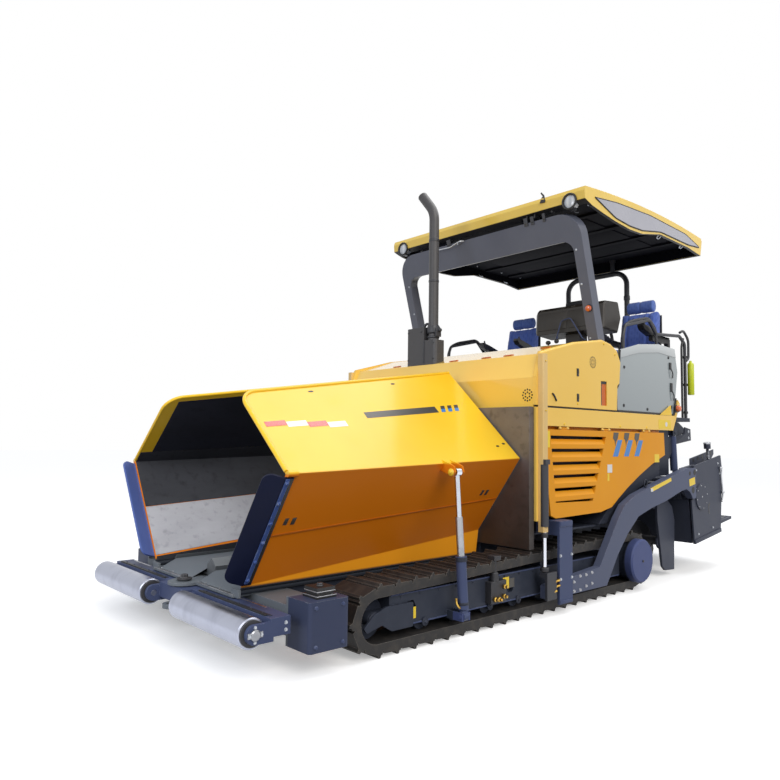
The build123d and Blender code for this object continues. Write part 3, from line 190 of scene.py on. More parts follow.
def chassis_enamel(name, colour, deeper, rubbed, ends=None):
    """Satin enamel on cut and welded plate: slightly uneven, rubbed paler along sawn edges, with road dust
    settled low down. The plate's own waviness is about 60 mm from crest to crest. The ends are the colour
    of what stands further out than a distance from the middle, and that distance."""
    mix = start("chassis_enamel_" + name)
    rounded, patches = mix.eased(), mix.cloud(180, 5.0)
    paint = mix.tint(patches, colour, deeper)
    if ends:
        outer = mix.math("GREATER_THAN", mix.math("ABSOLUTE", mix.along(1)), ends[1])
        paint = mix.tint(outer, paint, ends[0])
    worn = mix.math("MULTIPLY", mix.edge_share(rounded), mix.cloud(35, 4.0, harden=(0.42, 0.62)))
    settled = mix.math("MULTIPLY", mix.low_down(0.7), mix.cloud(90, 6.0, harden=(0.45, 0.75)))
    return mix.shader(mix.tint(mix.level(settled, 0.0, 0.1), mix.tint(worn, paint, rubbed), "#5C5E68"),
                      mix.level(patches, 0.38, 0.58), mix.relief(mix.cloud(60, 2.0), 0.5, 0.3, rounded),
                      ior=1.45, specular=0.2)


def turned_steel(name, colour, rubbed):
    """Steel tube turned in a lathe and polished by truck tyres: bright, with rings round it and grey rubber
    marks. Turning marks of under 1 mm are drawn every 7 mm so that they show."""
    mix = start("turned_steel_" + name)
    rings = mix.cloud(7, 2.0, (0.02, 1, 0.02))
    marks = mix.level(mix.cloud(120, 6.0, (0.5, 1, 0.5), (0.5, 0.68)), 0.0, 0.75)
    return mix.shader(mix.tint(marks, colour, rubbed), mix.level(rings, 0.26, 0.42),
                      mix.relief(rings, 0.15, 0.4, mix.eased()), metallic=1.0, anisotropic=0.4)


def hard_chrome(name):
    """Hard chrome plated on ground rod: a clean bright mirror with faint grinding marks along it."""
    mix = start("hard_chrome_" + name)
    film = mix.level(mix.cloud(150, harden=(0.5, 0.8)), 0.0, 0.5)
    return mix.shader(mix.tint(film, "#D3D9E2", "#9AA3B0"),
                      mix.level(mix.cloud(12, 2.0, (1, 1, 0.05)), 0.1, 0.2), metallic=1.0)


def plated_rod(name, block, low, high):
    """Hard chrome on the ground rod between two heights, in a mirror finish; the tow block below it and the
    barrel above it are painted casting."""
    mix = start("hard_chrome_" + name)
    height = mix.along(2)
    plated = mix.math("MULTIPLY", mix.math("GREATER_THAN", height, low), mix.math("LESS_THAN", height, high))
    return mix.shader(mix.tint(plated, block, "#D3D6DE"), mix.level(plated, 0.55, 0.16), metallic=plated)


def forged_track_steel(name):
    """Forged, heat-treated track steel: nearly black scale, brown dust in the hollows, and grousers worn
    bright where they bite the road. Forging scale is about 4 mm across, drawn at 9 mm."""
    mix = start(name)
    rounded, scale = mix.eased(), mix.cloud(9, 6.0)
    earth = mix.level(mix.cloud(70, 6.0, harden=(0.48, 0.7)), 0.0, 0.4)
    worn = mix.level(mix.edge_share(rounded), 0.0, 0.6)
    steel = mix.tint(earth, mix.tint(scale, "#171718", "#2C2A2A"), "#4C463F")
    return mix.shader(mix.tint(worn, steel, "#8D8780"), mix.level(scale, 0.5, 0.75),
                      mix.relief(scale, 0.9, 0.6, rounded), metallic=mix.level(worn, 0.25, 0.9))


def cast_iron(name):
    """Sand-cast iron under a thin dark primer: a grainy skin, paler on worn edges. Sand grain of about
    1 mm is drawn at 6 mm."""
    mix = start("cast_iron_" + name)
    rounded, grain = mix.eased(), mix.cloud(6, 5.0)
    worn = mix.level(mix.edge_share(rounded), 0.0, 0.5)
    return mix.shader(mix.tint(worn, mix.tint(mix.cloud(120, 4.0), "#24252A", "#38383C"), "#8B8B8E"),
                      mix.level(grain, 0.45, 0.65), mix.relief(grain, 0.6, 0.5, rounded), metallic=0.3)


def rolled_wear_plate(name, colour, rubbed, film, foot=None):
    """Rolled wear plate that hot mix slides over: bare steel dulled brown-grey by bitumen, combed by
    scratches, and rubbed paler in long patches. Scratches are drawn 5 mm apart. A foot colour, where given,
    is painted shade that darkens the plate towards the ground."""
    mix = start("rolled_wear_plate_" + name)
    combed = mix.cloud(5, 3.0, (0.06, 1, 0.25))
    body = mix.tint(mix.cloud(420, 4.0, (0.5, 1, 1), (0.38, 0.68)), colour, rubbed)
    # painted shade: the plate darkens towards its foot
    if foot:
        body = mix.tint(mix.low_down(1.5), body, foot)
    spots = mix.level(mix.cloud(60, 7.0, harden=(0.55, 0.75)), 0.0, 0.5)
    return mix.shader(mix.tint(spots, body, film), mix.level(combed, 0.42, 0.6),
                      mix.relief(combed, 0.25, 0.4, mix.eased()), metallic=0.55)


def calendered_rubber(name, colour, deeper, specular=0.5):
    """Rubber sheet rolled against cloth: matt and even, with the cloth's fine print and a grey bloom. The
    1 mm print is drawn at 5 mm."""
    mix = start("calendered_rubber_" + name)
    bloom = mix.cloud(160, 5.0, harden=(0.4, 0.8))
    return mix.shader(mix.tint(mix.level(bloom, 0.0, 0.5), colour, deeper), mix.level(bloom, 0.52, 0.62),
                      mix.relief(mix.cells(5), 0.2, 0.35, mix.eased(5)), specular=specular, ior=1.5)


def moulded_abs(name, colour, deeper):
    """ABS moulded against an etched tool: dark, with a soft leather grain that breaks up its shine. The
    1.5 mm grain is drawn at 6 mm."""
    mix = start("moulded_abs_" + name)
    return mix.shader(mix.tint(mix.cloud(300), colour, deeper), mix.level(mix.cloud(80), 0.42, 0.55),
                      mix.relief(mix.cells(6), 0.35, 0.4, mix.eased(6)), ior=1.53)


def powder_coat(name, colour, deeper, roughness=0.45, specular=0.5):
    """Polyester powder baked on tube and sheet: even and tough, with a fine pebbled skin. The 0.5 mm
    pebble is drawn at 5 mm."""
    mix = start("powder_coat_" + name)
    pebble = mix.cloud(5, 2.0)
    return mix.shader(mix.tint(mix.cloud(240, 4.0), colour, deeper),
                      mix.level(pebble, roughness - 0.08, roughness + 0.1),
                      mix.relief(pebble, 0.15, 0.4, mix.eased()), specular=specular, ior=1.5)


def cast_acrylic(name, colour, paler):
    """Grey cast acrylic sheet, polished: smooth and glassy, a little paler upwards, with wipe marks."""
    mix = start("cast_acrylic_" + name)
    wipes = mix.cloud(200, 5.0, (1, 1, 0.3), (0.45, 0.8))
    upwards = mix.spread(mix.along(2), 1.6, 2.4)
    return mix.shader(mix.tint(upwards, colour, paler), mix.level(wipes, 0.08, 0.2), mix.eased(3), ior=1.49,
                      coat=0.4, coat_roughness=0.05)


def woven_seat_cloth(name, colour, deeper):
    """Hard-wearing woven seat cloth: matt blue with the ribs of its weave and a soft sheen where it
    curves away. Threads of 1 mm are drawn 5 mm apart."""
    mix = start(name)
    weave = mix.math("MULTIPLY", *(mix.ribs(5, way, Distortion=0.6) for way in ("Y", "DIAGONAL")))
    shade = mix.math("MULTIPLY", weave, mix.cloud(90, 5.0))
    return mix.shader(mix.tint(shade, colour, deeper), mix.level(weave, 0.75, 0.9),
                      mix.relief(weave, 0.5, 0.5), sheen=0.35, sheen_roughness=0.5)


def gel_coated_laminate(name, colour, deeper):
    """Glass-fibre laminate laid up on a polished mould: glossy gelcoat that follows the fibres beneath in
    faint ripples about 25 mm apart."""
    mix = start("gel_coated_laminate_" + name)
    return mix.shader(mix.tint(mix.cloud(500, harden=(0.35, 0.75)), colour, deeper),
                      mix.level(mix.cloud(200, 5.0), 0.22, 0.36),
                      mix.relief(mix.cloud(25, 2.0), 0.2, 0.3, mix.eased(6)),
                      ior=1.5, coat=0.4, coat_roughness=0.1)


def ribbed_lens(name, colour, deeper, ribs_mm=9):
    """Clear moulded polycarbonate over a bright reflector: pale and wet-looking, crossed by its ribs."""
    mix = start("ribbed_lens_" + name)
    ribs = mix.ribs(ribs_mm, "Y")
    return mix.shader(mix.tint(ribs, colour, deeper), mix.level(ribs, 0.08, 0.16),
                      mix.relief(ribs, 0.5, 0.5), ior=1.58, coat=0.6, coat_roughness=0.04)


def machined_brass(name):
    """Brass fittings cut on a lathe: warm and bright, dulled brown in places."""
    mix = start(name)
    tarnish = mix.cloud(30, 5.0, harden=(0.4, 0.7))
    return mix.shader(mix.tint(tarnish, "#D8B25A", "#8A6A34"), mix.level(tarnish, 0.25, 0.45), metallic=1.0)


def zinc_plated_steel(name):
    """Bolts and pressed brackets dipped in bright zinc: pale grey, faintly spangled every 8 mm."""
    mix = start(name)
    return mix.shader(mix.tint(mix.cloud(40), "#C9CDD2", "#9297A0"),
                      mix.level(mix.cells(8, "Color"), 0.28, 0.45), metallic=0.9)


def printed_film(name, colour, deeper):
    """Printed vinyl film stuck over the paint: flat, even colour with a slight shine and a few faint
    bubbles about 40 mm apart."""
    mix = start("printed_film_" + name)
    return mix.shader(mix.tint(mix.cloud(90, 4.0), colour, deeper), 0.3,
                      mix.relief(mix.cloud(40, 1.0, harden=(0.66, 0.72)), 0.15, 0.3), ior=1.5)


def prismatic_tape(name, colour, deeper):
    """Reflective tape of tiny moulded prisms under clear film, which the eye sees as a fine honeycomb.
    Cells of 4 mm are drawn at 8 mm."""
    mix = start("prismatic_tape_" + name)
    walls = mix.spread(mix.cells(8, feature="DISTANCE_TO_EDGE"), 0.0, 0.12)
    return mix.shader(mix.tint(walls, deeper, colour), mix.level(walls, 0.35, 0.2), ior=1.5, coat=0.5)


# painted shade: the lower orange and the hinge's dark grey stand for the shadow under the wing
enamel_wing = sprayed_enamel("wing", "#F6C726", "#F2BC1C", coat=0.3, lower="#E58016", lowest="#F09E24")
# painted shade: a darker orange for the shadow along the lap's edge
lap_painted_shade = sprayed_enamel("lap", "#C0660F", "#B05C0C")
# painted highlight: the hood's yellow is made paler for the washed-out shine on its top
enamel_hood_and_highlight = sprayed_enamel("hood", "#F9CE58", "#F4C248", coat=1.0)
# painted reflection: the side panels' yellow is made paler for the sky they reflect
enamel_panel_and_reflection = sprayed_enamel("panel", "#F9CE64", "#F4C656")
enamel_door = sprayed_enamel("door", "#EA9F24", "#E2951E", coat=0.04, specular=0.1)
# painted shade: a deeper orange for the yellow paint in shadow inside the step's recess and the hood's slots
painted_shade_orange = sprayed_enamel("orange", "#D0661A", "#B8530F")
enamel_tan = sprayed_enamel("tan", "#E3C283", "#D2AE68")
enamel_sun = sprayed_enamel("sun", "#F8CE3A", "#F2C022")
# painted shade: black for the shadow inside holes, slots and the step's recess
painted_shade_black = sprayed_enamel("black", "#17181D", "#101116", roughness=0.32)
chassis_grey = chassis_enamel("grey", "#414A69", "#485272", "#7A829C")
# painted light: a paler copy of the frame's blue-grey enamel, to lift the tow arms out of the shade under
# the body
chassis_blue_lit = chassis_enamel("blue", "#50566C", "#585F76", "#868CA0")
chassis_screed = chassis_enamel("screed", "#3C404D", "#434755", "#6F7382")
chassis_frame_coat = chassis_enamel("frame", "#2C313D", "#353A47", "#5D6375", ends=("#47517C", 1.2))
chassis_dark = chassis_enamel("dark", "#2A2E39", "#333743", "#5D6375")
apron_grey = chassis_enamel("apron", "#666C73", "#70767C", "#949AA1", ends=("#3A4159", 1.02))
clamp_enamel = chassis_enamel("clamp", "#3E5590", "#4A629E", "#A9B4CE")
# painted reflection: the roller steel's bluish tint stands for the blue its lower side reflects
roller_steel_and_reflection = turned_steel("roller", "#A9ADBC", "#999DAC")
steel_bare = turned_steel("pin", "#A9ABB0", "#6D6F75")
cap_edge = turned_steel("edge", "#B9B9BD", "#8B8C92")
chrome = hard_chrome("rod")
level_rod = plated_rod("level_rod", "#2A2C33", 0.352, 0.70)
track_steel = forged_track_steel("forged_track_steel")
iron = cast_iron("primed")
# painted shade: the back wall darkens to near black at its foot for the shadow there
wall_plate_shaded_foot = rolled_wear_plate("wall", "#66605E", "#7C7674", "#3B3735", foot="#161515")
floor_plate = rolled_wear_plate("floor", "#5E6266", "#6C7074", "#45464A")
# painted shade: the upper wing liner is near black for the shadow under the overhang
liner_upper_shade = rolled_wear_plate("upper", "#20222C", "#2A2C38", "#15161C")
liner_middle = rolled_wear_plate("middle", "#2D2F35", "#3C3E45", "#1C1C20")
liner_low = rolled_wear_plate("low", "#9C9DA4", "#B3B4BB", "#6F7076")
flap_rubber = calendered_rubber("flap", "#0B1129", "#121935", specular=0.15)
# painted light: a paler, bluer copy of the navy flap rubber, for the light on the far flap
flap_far_lit = calendered_rubber("far", "#5165A6", "#5C70B0", specular=0.3)
black_rubber = calendered_rubber("black", "#121214", "#1F1F23")
abs_console = moulded_abs("console", "#1C1814", "#28231E")
abs_black = moulded_abs("black", "#141416", "#1D1D21")
tube_black = powder_coat("tube", "#2B2C31", "#36373D")
exhaust_coat = powder_coat("exhaust", "#3D3C3E", "#454446")
arch_coat = powder_coat("arch", "#565A68", "#626675", roughness=0.38)
# partly painted shade: the roof's dark lining is made darker still for the shade under the roof
dark_liner_and_shade = powder_coat("liner", "#13141A", "#181920", roughness=0.75, specular=0.06)
screen_acrylic = cast_acrylic("screen", "#8F989C", "#A6AFB2")
screen_band = cast_acrylic("band", "#B4BBBE", "#C2C8CA")
seat_blue = woven_seat_cloth("woven_seat_cloth", "#5571C6", "#3F58A8")
seat_pale = woven_seat_cloth("woven_seat_cloth_pale", "#5C78C4", "#4560AC")
canopy_gel = gel_coated_laminate("yellow", "#FBD65E", "#F6CE50")
insert_gel = gel_coated_laminate("pale", "#B4B4BE", "#A8A9B4")
lens_clear = ribbed_lens("clear", "#E9EDF2", "#BFC6D0")
lens_amber = ribbed_lens("amber", "#F0701C", "#C9520C", ribs_mm=6)
brass = machined_brass("machined_brass")
zinc = zinc_plated_steel("zinc_plated_steel")
film_white = printed_film("white", "#E6E6E4", "#D6D6D6")
film_yellow = printed_film("yellow", "#F4D31E", "#EBC715")
film_blue = printed_film("blue", "#3C86CF", "#3179C2")
film_grey = printed_film("grey", "#45423F", "#37342F")
film_lime = printed_film("lime", "#D6E021", "#C3D016")
tape_red = prismatic_tape("red", "#D4372B", "#A8241B")
tape_white = prismatic_tape("white", "#E9E9E9", "#C9CCD0")

NODE_FINISHES = {
    "auger_frame": chassis_screed, "auger_left": iron, "auger_right": iron, "arch_panels": chassis_dark,
    "bump_caps": black_rubber, "canopy_inserts": insert_gel, "canopy_liner": dark_liner_and_shade,
    "canopy_shell": canopy_gel, "chassis_frame": chassis_dark, "console": abs_console,
    "conveyor_deck": floor_plate, "engine_block": iron, "exhaust_box": exhaust_coat,
    "exhaust_pipe": exhaust_coat, "front_crossmember": apron_grey, "handrails": tube_black,
    "hood": enamel_hood_and_highlight, "hopper_back_wall": wall_plate_shaded_foot, "lamps": lens_clear,
    "levelling_cylinders": level_rod, "platform_deck": chassis_dark, "push_beam": chassis_grey,
    "rear_arch": tube_black, "rops_arch": arch_coat, "screed_body": chassis_screed,
    "seat_frames": abs_black, "side_screens": screen_acrylic, "slat_conveyor": track_steel,
    "tow_guides": chassis_grey,
}
PAIRED_FINISHES = {
    "hopper_wing": enamel_wing, "lift_barrel": chassis_grey, "lift_rod": chrome,
    "louvre_door": enamel_door, "push_roller": roller_steel_and_reflection, "screed_extension": chassis_screed,
    "side_panel": enamel_panel_and_reflection, "tow_arm": chassis_blue_lit, "track": track_steel,
    "track_frame": chassis_frame_coat, "wing_cylinder_barrel": chassis_grey, "wing_cylinder_rod": chrome,
    "wing_cylinder_stage": steel_bare, "wing_flap": flap_rubber, "seat": seat_blue,
}
for name, finish in PAIRED_FINISHES.items():
    NODE_FINISHES[f"{name}_left"] = NODE_FINISHES[f"{name}_right"] = finish
# the far flap takes the lit copy of the rubber, painted light
NODE_FINISHES["wing_flap_right"] = flap_far_lit
for name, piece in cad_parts.items():
    piece.data.materials.clear()
    piece.data.materials.append(NODE_FINISHES[name])


# ---- making pieces
bench = bmesh.new()  # holds the shape in hand, until it is fitted to the machine


def fit(name, finish, body="tractor", smooth=35):
    """Turns what is on the bench into a piece of the machine that moves with a body."""
    bmesh.ops.remove_doubles(bench, verts=bench.verts, dist=1e-6)
    bmesh.ops.recalc_face_normals(bench, faces=bench.faces)
    piece = taken_off(name, finish, body)
    piece.data.shade_smooth()
    piece.data.set_sharp_from_angle(angle=math.radians(smooth))
    return piece


def taken_off(name, finish, body):
    """The bench's shape as a piece with its finish and body. The bench is clear again."""
    mesh = bpy.data.meshes.new(name)
    bench.to_mesh(mesh)
    bench.clear()
    mesh.materials.append(finish)
    piece = bpy.data.objects.new(name, mesh)
    bpy.context.scene.collection.objects.link(piece)
    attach(piece, body)
    return piece


def fit_pair(name, finish, body="tractor"):
    """Fits the left piece from the bench, and the same mirrored on the machine's right side."""
    left = fit(f"{name}_left", finish, body.format("left"))
    mirrored(left, f"{name}_right", finish, body.format("right"))


def mirrored(piece, name, finish, body="tractor"):
    """The same piece on the machine's other side."""
    bench.from_mesh(piece.data)
    bmesh.ops.scale(bench, vec=(1, -1, 1), verts=bench.verts)
    bmesh.ops.reverse_faces(bench, faces=bench.faces)
    return taken_off(name, finish, body)


def points_of(geometry):
    """The points among what a bench operation returns."""
    return [item for item in geometry if isinstance(item, bmesh.types.BMVert)]


def double():
    """Repeats what is on the bench on the machine's other side."""
    again = bmesh.ops.duplicate(bench, geom=bench.verts[:] + bench.edges[:] + bench.faces[:])["geom"]
    bmesh.ops.scale(bench, vec=(1, -1, 1), verts=points_of(again))


def slab(outline, depth, edge=0.0):
    """A plate whose face has that outline, as thick as the depth vector, with its edges eased."""
    face = bench.faces.new([bench.verts.new(Vector(point)) for point in outline])
    grown = bmesh.ops.extrude_face_region(bench, geom=[face])["geom"]
    bmesh.ops.translate(bench, verts=points_of(grown), vec=Vector(depth))
    if edge:
        top = next(item for item in grown if isinstance(item, bmesh.types.BMFace))
        bmesh.ops.bevel(bench, geom=list(top.edges), offset=edge, segments=2, affect="EDGES", profile=0.6)


def plate(outline, y, thick, edge=0.0):
    """An upright plate along the machine, its outline given as (station, height)."""
    slab([at(station, y, z) for station, z in outline], (0, thick, 0), edge)


def tray(outline, z, thick, edge=0.0):
    """A level plate, its outline given as (station, Y)."""
    slab([at(station, y, z) for station, y in outline], (0, 0, thick), edge)


def board(outline, station, ahead, edge=0.0):
    """An upright plate across the machine that is so thick ahead, its outline given as (Y, height)."""
    slab([at(station, y, z) for y, z in outline], (ahead, 0, 0), edge)


def rectangle(front, rear, low, high):
    """Corners of a rectangle, as (station, height) or (station, Y)."""
    return ((front, low), (rear, low), (rear, high), (front, high))


def shares(low, high, count):
    """The count + 1 values that part the way from low to high evenly."""
    return [low + (high - low) * k / count for k in range(count + 1)]


def around(count, radius, centre=(0, 0), phase=0.0, tall=None):
    """Points spread evenly round a circle, or round an ellipse where it is a different radius tall."""
    angles = (2 * math.pi * k / count + phase for k in range(count))
    return [(centre[0] + radius * math.cos(a), centre[1] + (tall or radius) * math.sin(a)) for a in angles]


def turned(profile, centre, axis, steps=24):
    """A lathe-turned form: the profile gives (radius, distance along the axis)."""
    axis = Vector(axis).normalized()
    across = axis.orthogonal().normalized()
    other = axis.cross(across)
    rings = []
    for radius, along in profile:
        middle = Vector(centre) + axis * along
        circle = around(steps, radius) if radius > 0 else [(0, 0)]
        rings.append([bench.verts.new(middle + across * u + other * v) for u, v in circle])
    for ring, following in zip(rings, rings[1:]):
        for near in range(steps):
            far = (near + 1) % steps
            corners = dict.fromkeys((ring[near % len(ring)], ring[far % len(ring)],
                                     following[far % len(following)], following[near % len(following)]))
            if len(corners) > 2:
                bench.faces.new(list(corners))


def disc(radius, thick):
    """The profile of a flat disc."""
    return ((radius, 0), (radius, thick), (0, thick))


def stud(radius, shoulder, crown, height):
    """The profile of a round head: straight up to its shoulder, then in to its crown."""
    return ((radius, 0), (radius, shoulder), (crown, height), (0, height))


def hub(foot, radius, rise, shoulder, crown, height):
    """The profile of a cast hub, with an eased foot and crown."""
    return ((0, 0), (foot, 0), (radius, rise), (radius, shoulder), (crown, height), (0, height))


def band(inner, outer, ease, length):
    """The profile of a ring round a tube, with its edges eased."""
    return ((inner, 0), (outer, ease), (outer, length - ease), (inner, length))


def rounds(profile, places, y, steps=20):
    """The same turned form that points outwards from an upright plane at each (station, height)."""
    for station, z in places:
        turned(profile, at(station, y, z), OUT, steps)


def bolt(head, axis, size=0.012):
    """A hexagon head on its washer, standing on a face at that point."""
    wide, low, high = size * 1.25, size * 0.2, size * 0.95
    turned(((0, 0), (wide, 0), (wide, size * 0.16), (size * 1.2, low), (0, low)), head, axis, 16)
    turned(((0, low), (size, low), (size, size * 0.8), (size * 0.86, high), (0, high)), head, axis, 6)


def bolts(places, y, size):
    """Bolts in an upright plane that point outwards, at each (station, height)."""
    for station, z in places:
        bolt(at(station, y, z), OUT, size)


def smooth_route(points, bend, steps=6):
    """A route through points with every corner rounded to the bend's radius."""
    route = [points[0]]
    for before, corner, after in zip(points, points[1:], points[2:]):
        back, onward = before - corner, after - corner
        reach = min(bend, back.length / 2.05, onward.length / 2.05)
        first, last = corner + back.normalized() * reach, corner + onward.normalized() * reach
        for share in shares(0, 1, steps):
            route.append(first.lerp(corner, share).lerp(corner.lerp(last, share), share))
    return route + [points[-1]]


def bar(points, radius, bend=0.0, steps=12):
    """A round bar or tube along points, with its corners bent and its ends closed."""
    route = smooth_route(points, bend) if bend else points
    heading = (route[1] - route[0]).normalized()
    across = heading.orthogonal().normalized()
    rings = []
    for index, point in enumerate(route):
        ahead = (route[min(index + 1, len(route) - 1)] - route[max(index - 1, 0)]).normalized()
        across = heading.rotation_difference(ahead) @ across
        heading = ahead
        across = (across - heading * across.dot(heading)).normalized()
        other = heading.cross(across)
        rings.append([bench.verts.new(point + across * u + other * v) for u, v in around(steps, radius)])
    for ring, following in zip(rings, rings[1:]):
        for k in range(steps):
            bench.faces.new((ring[k], ring[(k + 1) % steps], following[(k + 1) % steps], following[k]))
    bench.faces.new(rings[0][::-1])
    bench.faces.new(rings[-1])


def pipe(places, radius, bend=0.0, steps=12):
    """A bar through places of the machine, each given as (station, Y, height)."""
    bar([at(*place) for place in places], radius, bend, steps)


# ---- hopper wings
WING_FRONT, WING_BACK, WING_SHEET = 0.200, 2.420, 0.012
WING_LINES = (  # (Y, Z) at the front and at the rear: foot, fold and top edge
    ((0.650, 0.445), (0.672, 0.628)), ((1.127, 1.166), (1.104, 1.235)), ((0.538, 1.664), (0.324, 1.969)))
CLEAR = 0.0004  # thin things lie this far off the face under them


def on_wing(station, panel, up, out=0.0):
    """A point on a wing: panel 0 is below the fold and 1 above it, up runs from 0 to 1 across the panel,
    and out is the distance outwards from the wing's outer face."""
    run = (station - WING_FRONT) / (WING_BACK - WING_FRONT)
    low, high = (Vector(line[0]).lerp(Vector(line[1]), run) for line in WING_LINES[panel:panel + 2])
    along = (high - low).normalized()
    y, z = low.lerp(high, up) + Vector((along.y, -along.x)) * out
    return at(station, y, z)


def wing_skin(panel, stations, ups, near, far, steps=2):
    """A thin plate that follows a wing's panel between two distances from its outer face."""
    inner, outer = ([[bench.verts.new(on_wing(station, panel, up, out)) for up in ups]
                     for station in shares(*stations, steps)] for out in (near, far))
    last = len(ups) - 1
    for k in range(steps):
        for j in range(last):
            for layer in (inner, outer):
                bench.faces.new((layer[k][j], layer[k + 1][j], layer[k + 1][j + 1], layer[k][j + 1]))
        for j in (0, last):
            bench.faces.new((inner[k][j], outer[k][j], outer[k + 1][j], inner[k + 1][j]))
    for k in (0, steps):
        for j in range(last):
            bench.faces.new((inner[k][j], inner[k][j + 1], outer[k][j + 1], outer[k][j]))


# wear plates that line the wing, darker towards the top: the near-black upper band is painted shade under
# the wing's overhanging top panel
for part, panel, low, high, finish in (
        ("low", 0, 0.02, 0.50, liner_low), ("middle", 0, 0.505, 0.985, liner_middle),
        ("fold", 1, 0.015, 0.17, liner_middle), ("upper", 1, 0.175, 0.95, liner_upper_shade)):
    stations = (0.300 if part == "upper" else 0.206, 2.414)
    wing_skin(panel, stations, shares(low, high, 6), -WING_SHEET - 0.0005, -WING_SHEET - 0.004, 10)
    fit_pair(f"wing_liner_{part}", finish, "wing_{}")
foot = ((0.206, 0.6315, 0.428), (2.414, 0.6315, 0.428), (2.414, 0.6575, 0.612), (0.206, 0.6375, 0.460))
slab([at(*place) for place in foot], (0, -0.003, 0))
fit_pair("wing_liner_foot", liner_middle, "wing_{}")

# the strip that clamps the rubber flap, its bolts, and a black strip behind it, painted shade of the
# rubber's rear part
FLAP_FACE, STRIP = 0.0143, 0.006
wing_skin(0, (0.194, 0.222), shares(0.045, 0.970, 6), FLAP_FACE, FLAP_FACE + STRIP)
outwards = on_wing(0.2, 0, 0.5, 1.0) - on_wing(0.2, 0, 0.5)
for k in range(6):
    bolt(on_wing(0.208, 0, 0.08 + 0.172 * k, FLAP_FACE + STRIP), outwards, 0.011)
fit_pair("flap_clamp", clamp_enamel, "wing_{}")
wing_skin(0, (0.224, 0.249), (0.045, 0.5, 0.97), FLAP_FACE, FLAP_FACE + 0.003)
fit_pair("flap_shade_strip", black_rubber, "wing_{}")

# reflective tape: two red and two white lengths level with each other
FILM = 0.001
for k, finish in enumerate((tape_red, tape_white, tape_red, tape_white)):
    first, rise = 0.255 + 0.162 * k, 0.545 - 0.022 * k
    wing_skin(1, (first, first + 0.160), (rise, rise + 0.062), CLEAR, CLEAR + FILM)
    fit_pair(f"wing_tape_{k}", finish, "wing_{}")

# the dark band, left plain, with three slanted marks behind it
BAND_LOW, BAND_MIDDLE, BAND_HIGH = 0.55, 0.585, 0.62
wing_skin(1, (1.12, 1.90), (BAND_LOW, BAND_HIGH), CLEAR, CLEAR + FILM, 3)
fit_pair("wing_band", film_grey, "wing_{}")
for word, finish, low, high in (("high", film_grey, BAND_MIDDLE, BAND_HIGH),
                                ("low", film_blue, BAND_LOW, BAND_MIDDLE)):
    for k in range(3):
        first = 1.935 + 0.085 * k
        foot = first + 0.5 * (low - BAND_LOW)
        corners = ((foot, low), (foot + 0.05, low), (foot + 0.068, high), (foot + 0.018, high))
        slab([on_wing(station, 1, up, CLEAR) for station, up in corners],
             on_wing(first, 1, 0.5, FILM) - on_wing(first, 1, 0.5))
    fit_pair(f"wing_mark_{word}", finish, "wing_{}")

# lifting slots near the top edge and by the rear of the fold, each with a rolled rim; their black is painted
# shade in the openings
for station, up, length in ((0.78, 0.93, 0.05), (1.63, 0.93, 0.05), (2.27, 0.14, 0.04), (2.365, 0.16, 0.04)):
    middle = on_wing(station, 1, up, 0.001)
    along = (on_wing(station + 0.01, 1, up, 0.001) - middle).normalized()
    across = (on_wing(station, 1, up + 0.01, 0.001) - middle).normalized()
    slab([middle + along * u + across * v for u, v in around(20, length / 2, tall=0.009)],
         along.cross(across) * -0.002, 0.0008)
fit_pair("wing_slots", painted_shade_black, "wing_{}")

# lap seam of the two sheets below the fold; its darker orange is painted shade along the lap's edge
wing_skin(0, (0.235, 2.415), (0.445, 0.462), 0.0002, 0.0035, 4)
fit_pair("wing_seam", lap_painted_shade, "wing_{}")

# two lifting eyes stamped under the fold, each of two slots whose dark grey is painted shade
STAMP = ((-0.014, -0.026), (0.014, -0.026), (0.018, 0.026), (-0.010, 0.026))
for station in (0.36, 2.20):
    middle = on_wing(station, 0, 0.57, 0.001)
    up_way = (on_wing(station, 0, 0.60, 0.001) - middle).normalized()
    out_way = (on_wing(station, 0, 0.57, 0.01) - on_wing(station, 0, 0.57)).normalized()
    for shift in (-0.028, 0.028):
        slab([middle + ALONG * (shift + u) + up_way * v for u, v in STAMP], out_way * 0.002, 0.001)
fit_pair("wing_stamp", film_grey, "wing_{}")

# ---- wing cylinders
CYLINDER_FOOT, CYLINDER_EYE, CYLINDER_STATION = Vector((1.265, 0.165)), Vector((1.192, 1.150)), 1.580
cylinder_way = (CYLINDER_EYE - CYLINDER_FOOT).normalized()


def on_cylinder(distance, ahead=0.0):
    """A point on a wing cylinder's axis at that distance from its foot, or so far ahead of it."""
    y, z = CYLINDER_FOOT + cylinder_way * distance
    return at(CYLINDER_STATION - ahead, y, z)


# cap bolts on the cylinder's upper pin
turned(stud(0.026, 0.006, 0.014, 0.012), at(1.522, *CYLINDER_EYE), AHEAD, 20)
bolt(at(1.512, *CYLINDER_EYE), AHEAD)
fit_pair("wing_pin_cap", enamel_sun, "wing_{}")
axis = (0, cylinder_way.x, cylinder_way.y)
turned(band(0.037, 0.042, 0.004, 0.034), on_cylinder(0.368), axis, 28)
turned(((0.037, 0), (0.040, 0.003), (0.040, 0.016), (0.037, 0.020)), on_cylinder(0.075), axis, 28)
fit_pair("barrel_collars", chassis_dark, "wing_barrel_{}")
bar([on_cylinder(0.06, 0.036), on_cylinder(0.09, 0.066), on_cylinder(0.13, 0.068)], 0.008, 0.02)
fit_pair("barrel_port", brass, "wing_barrel_{}")


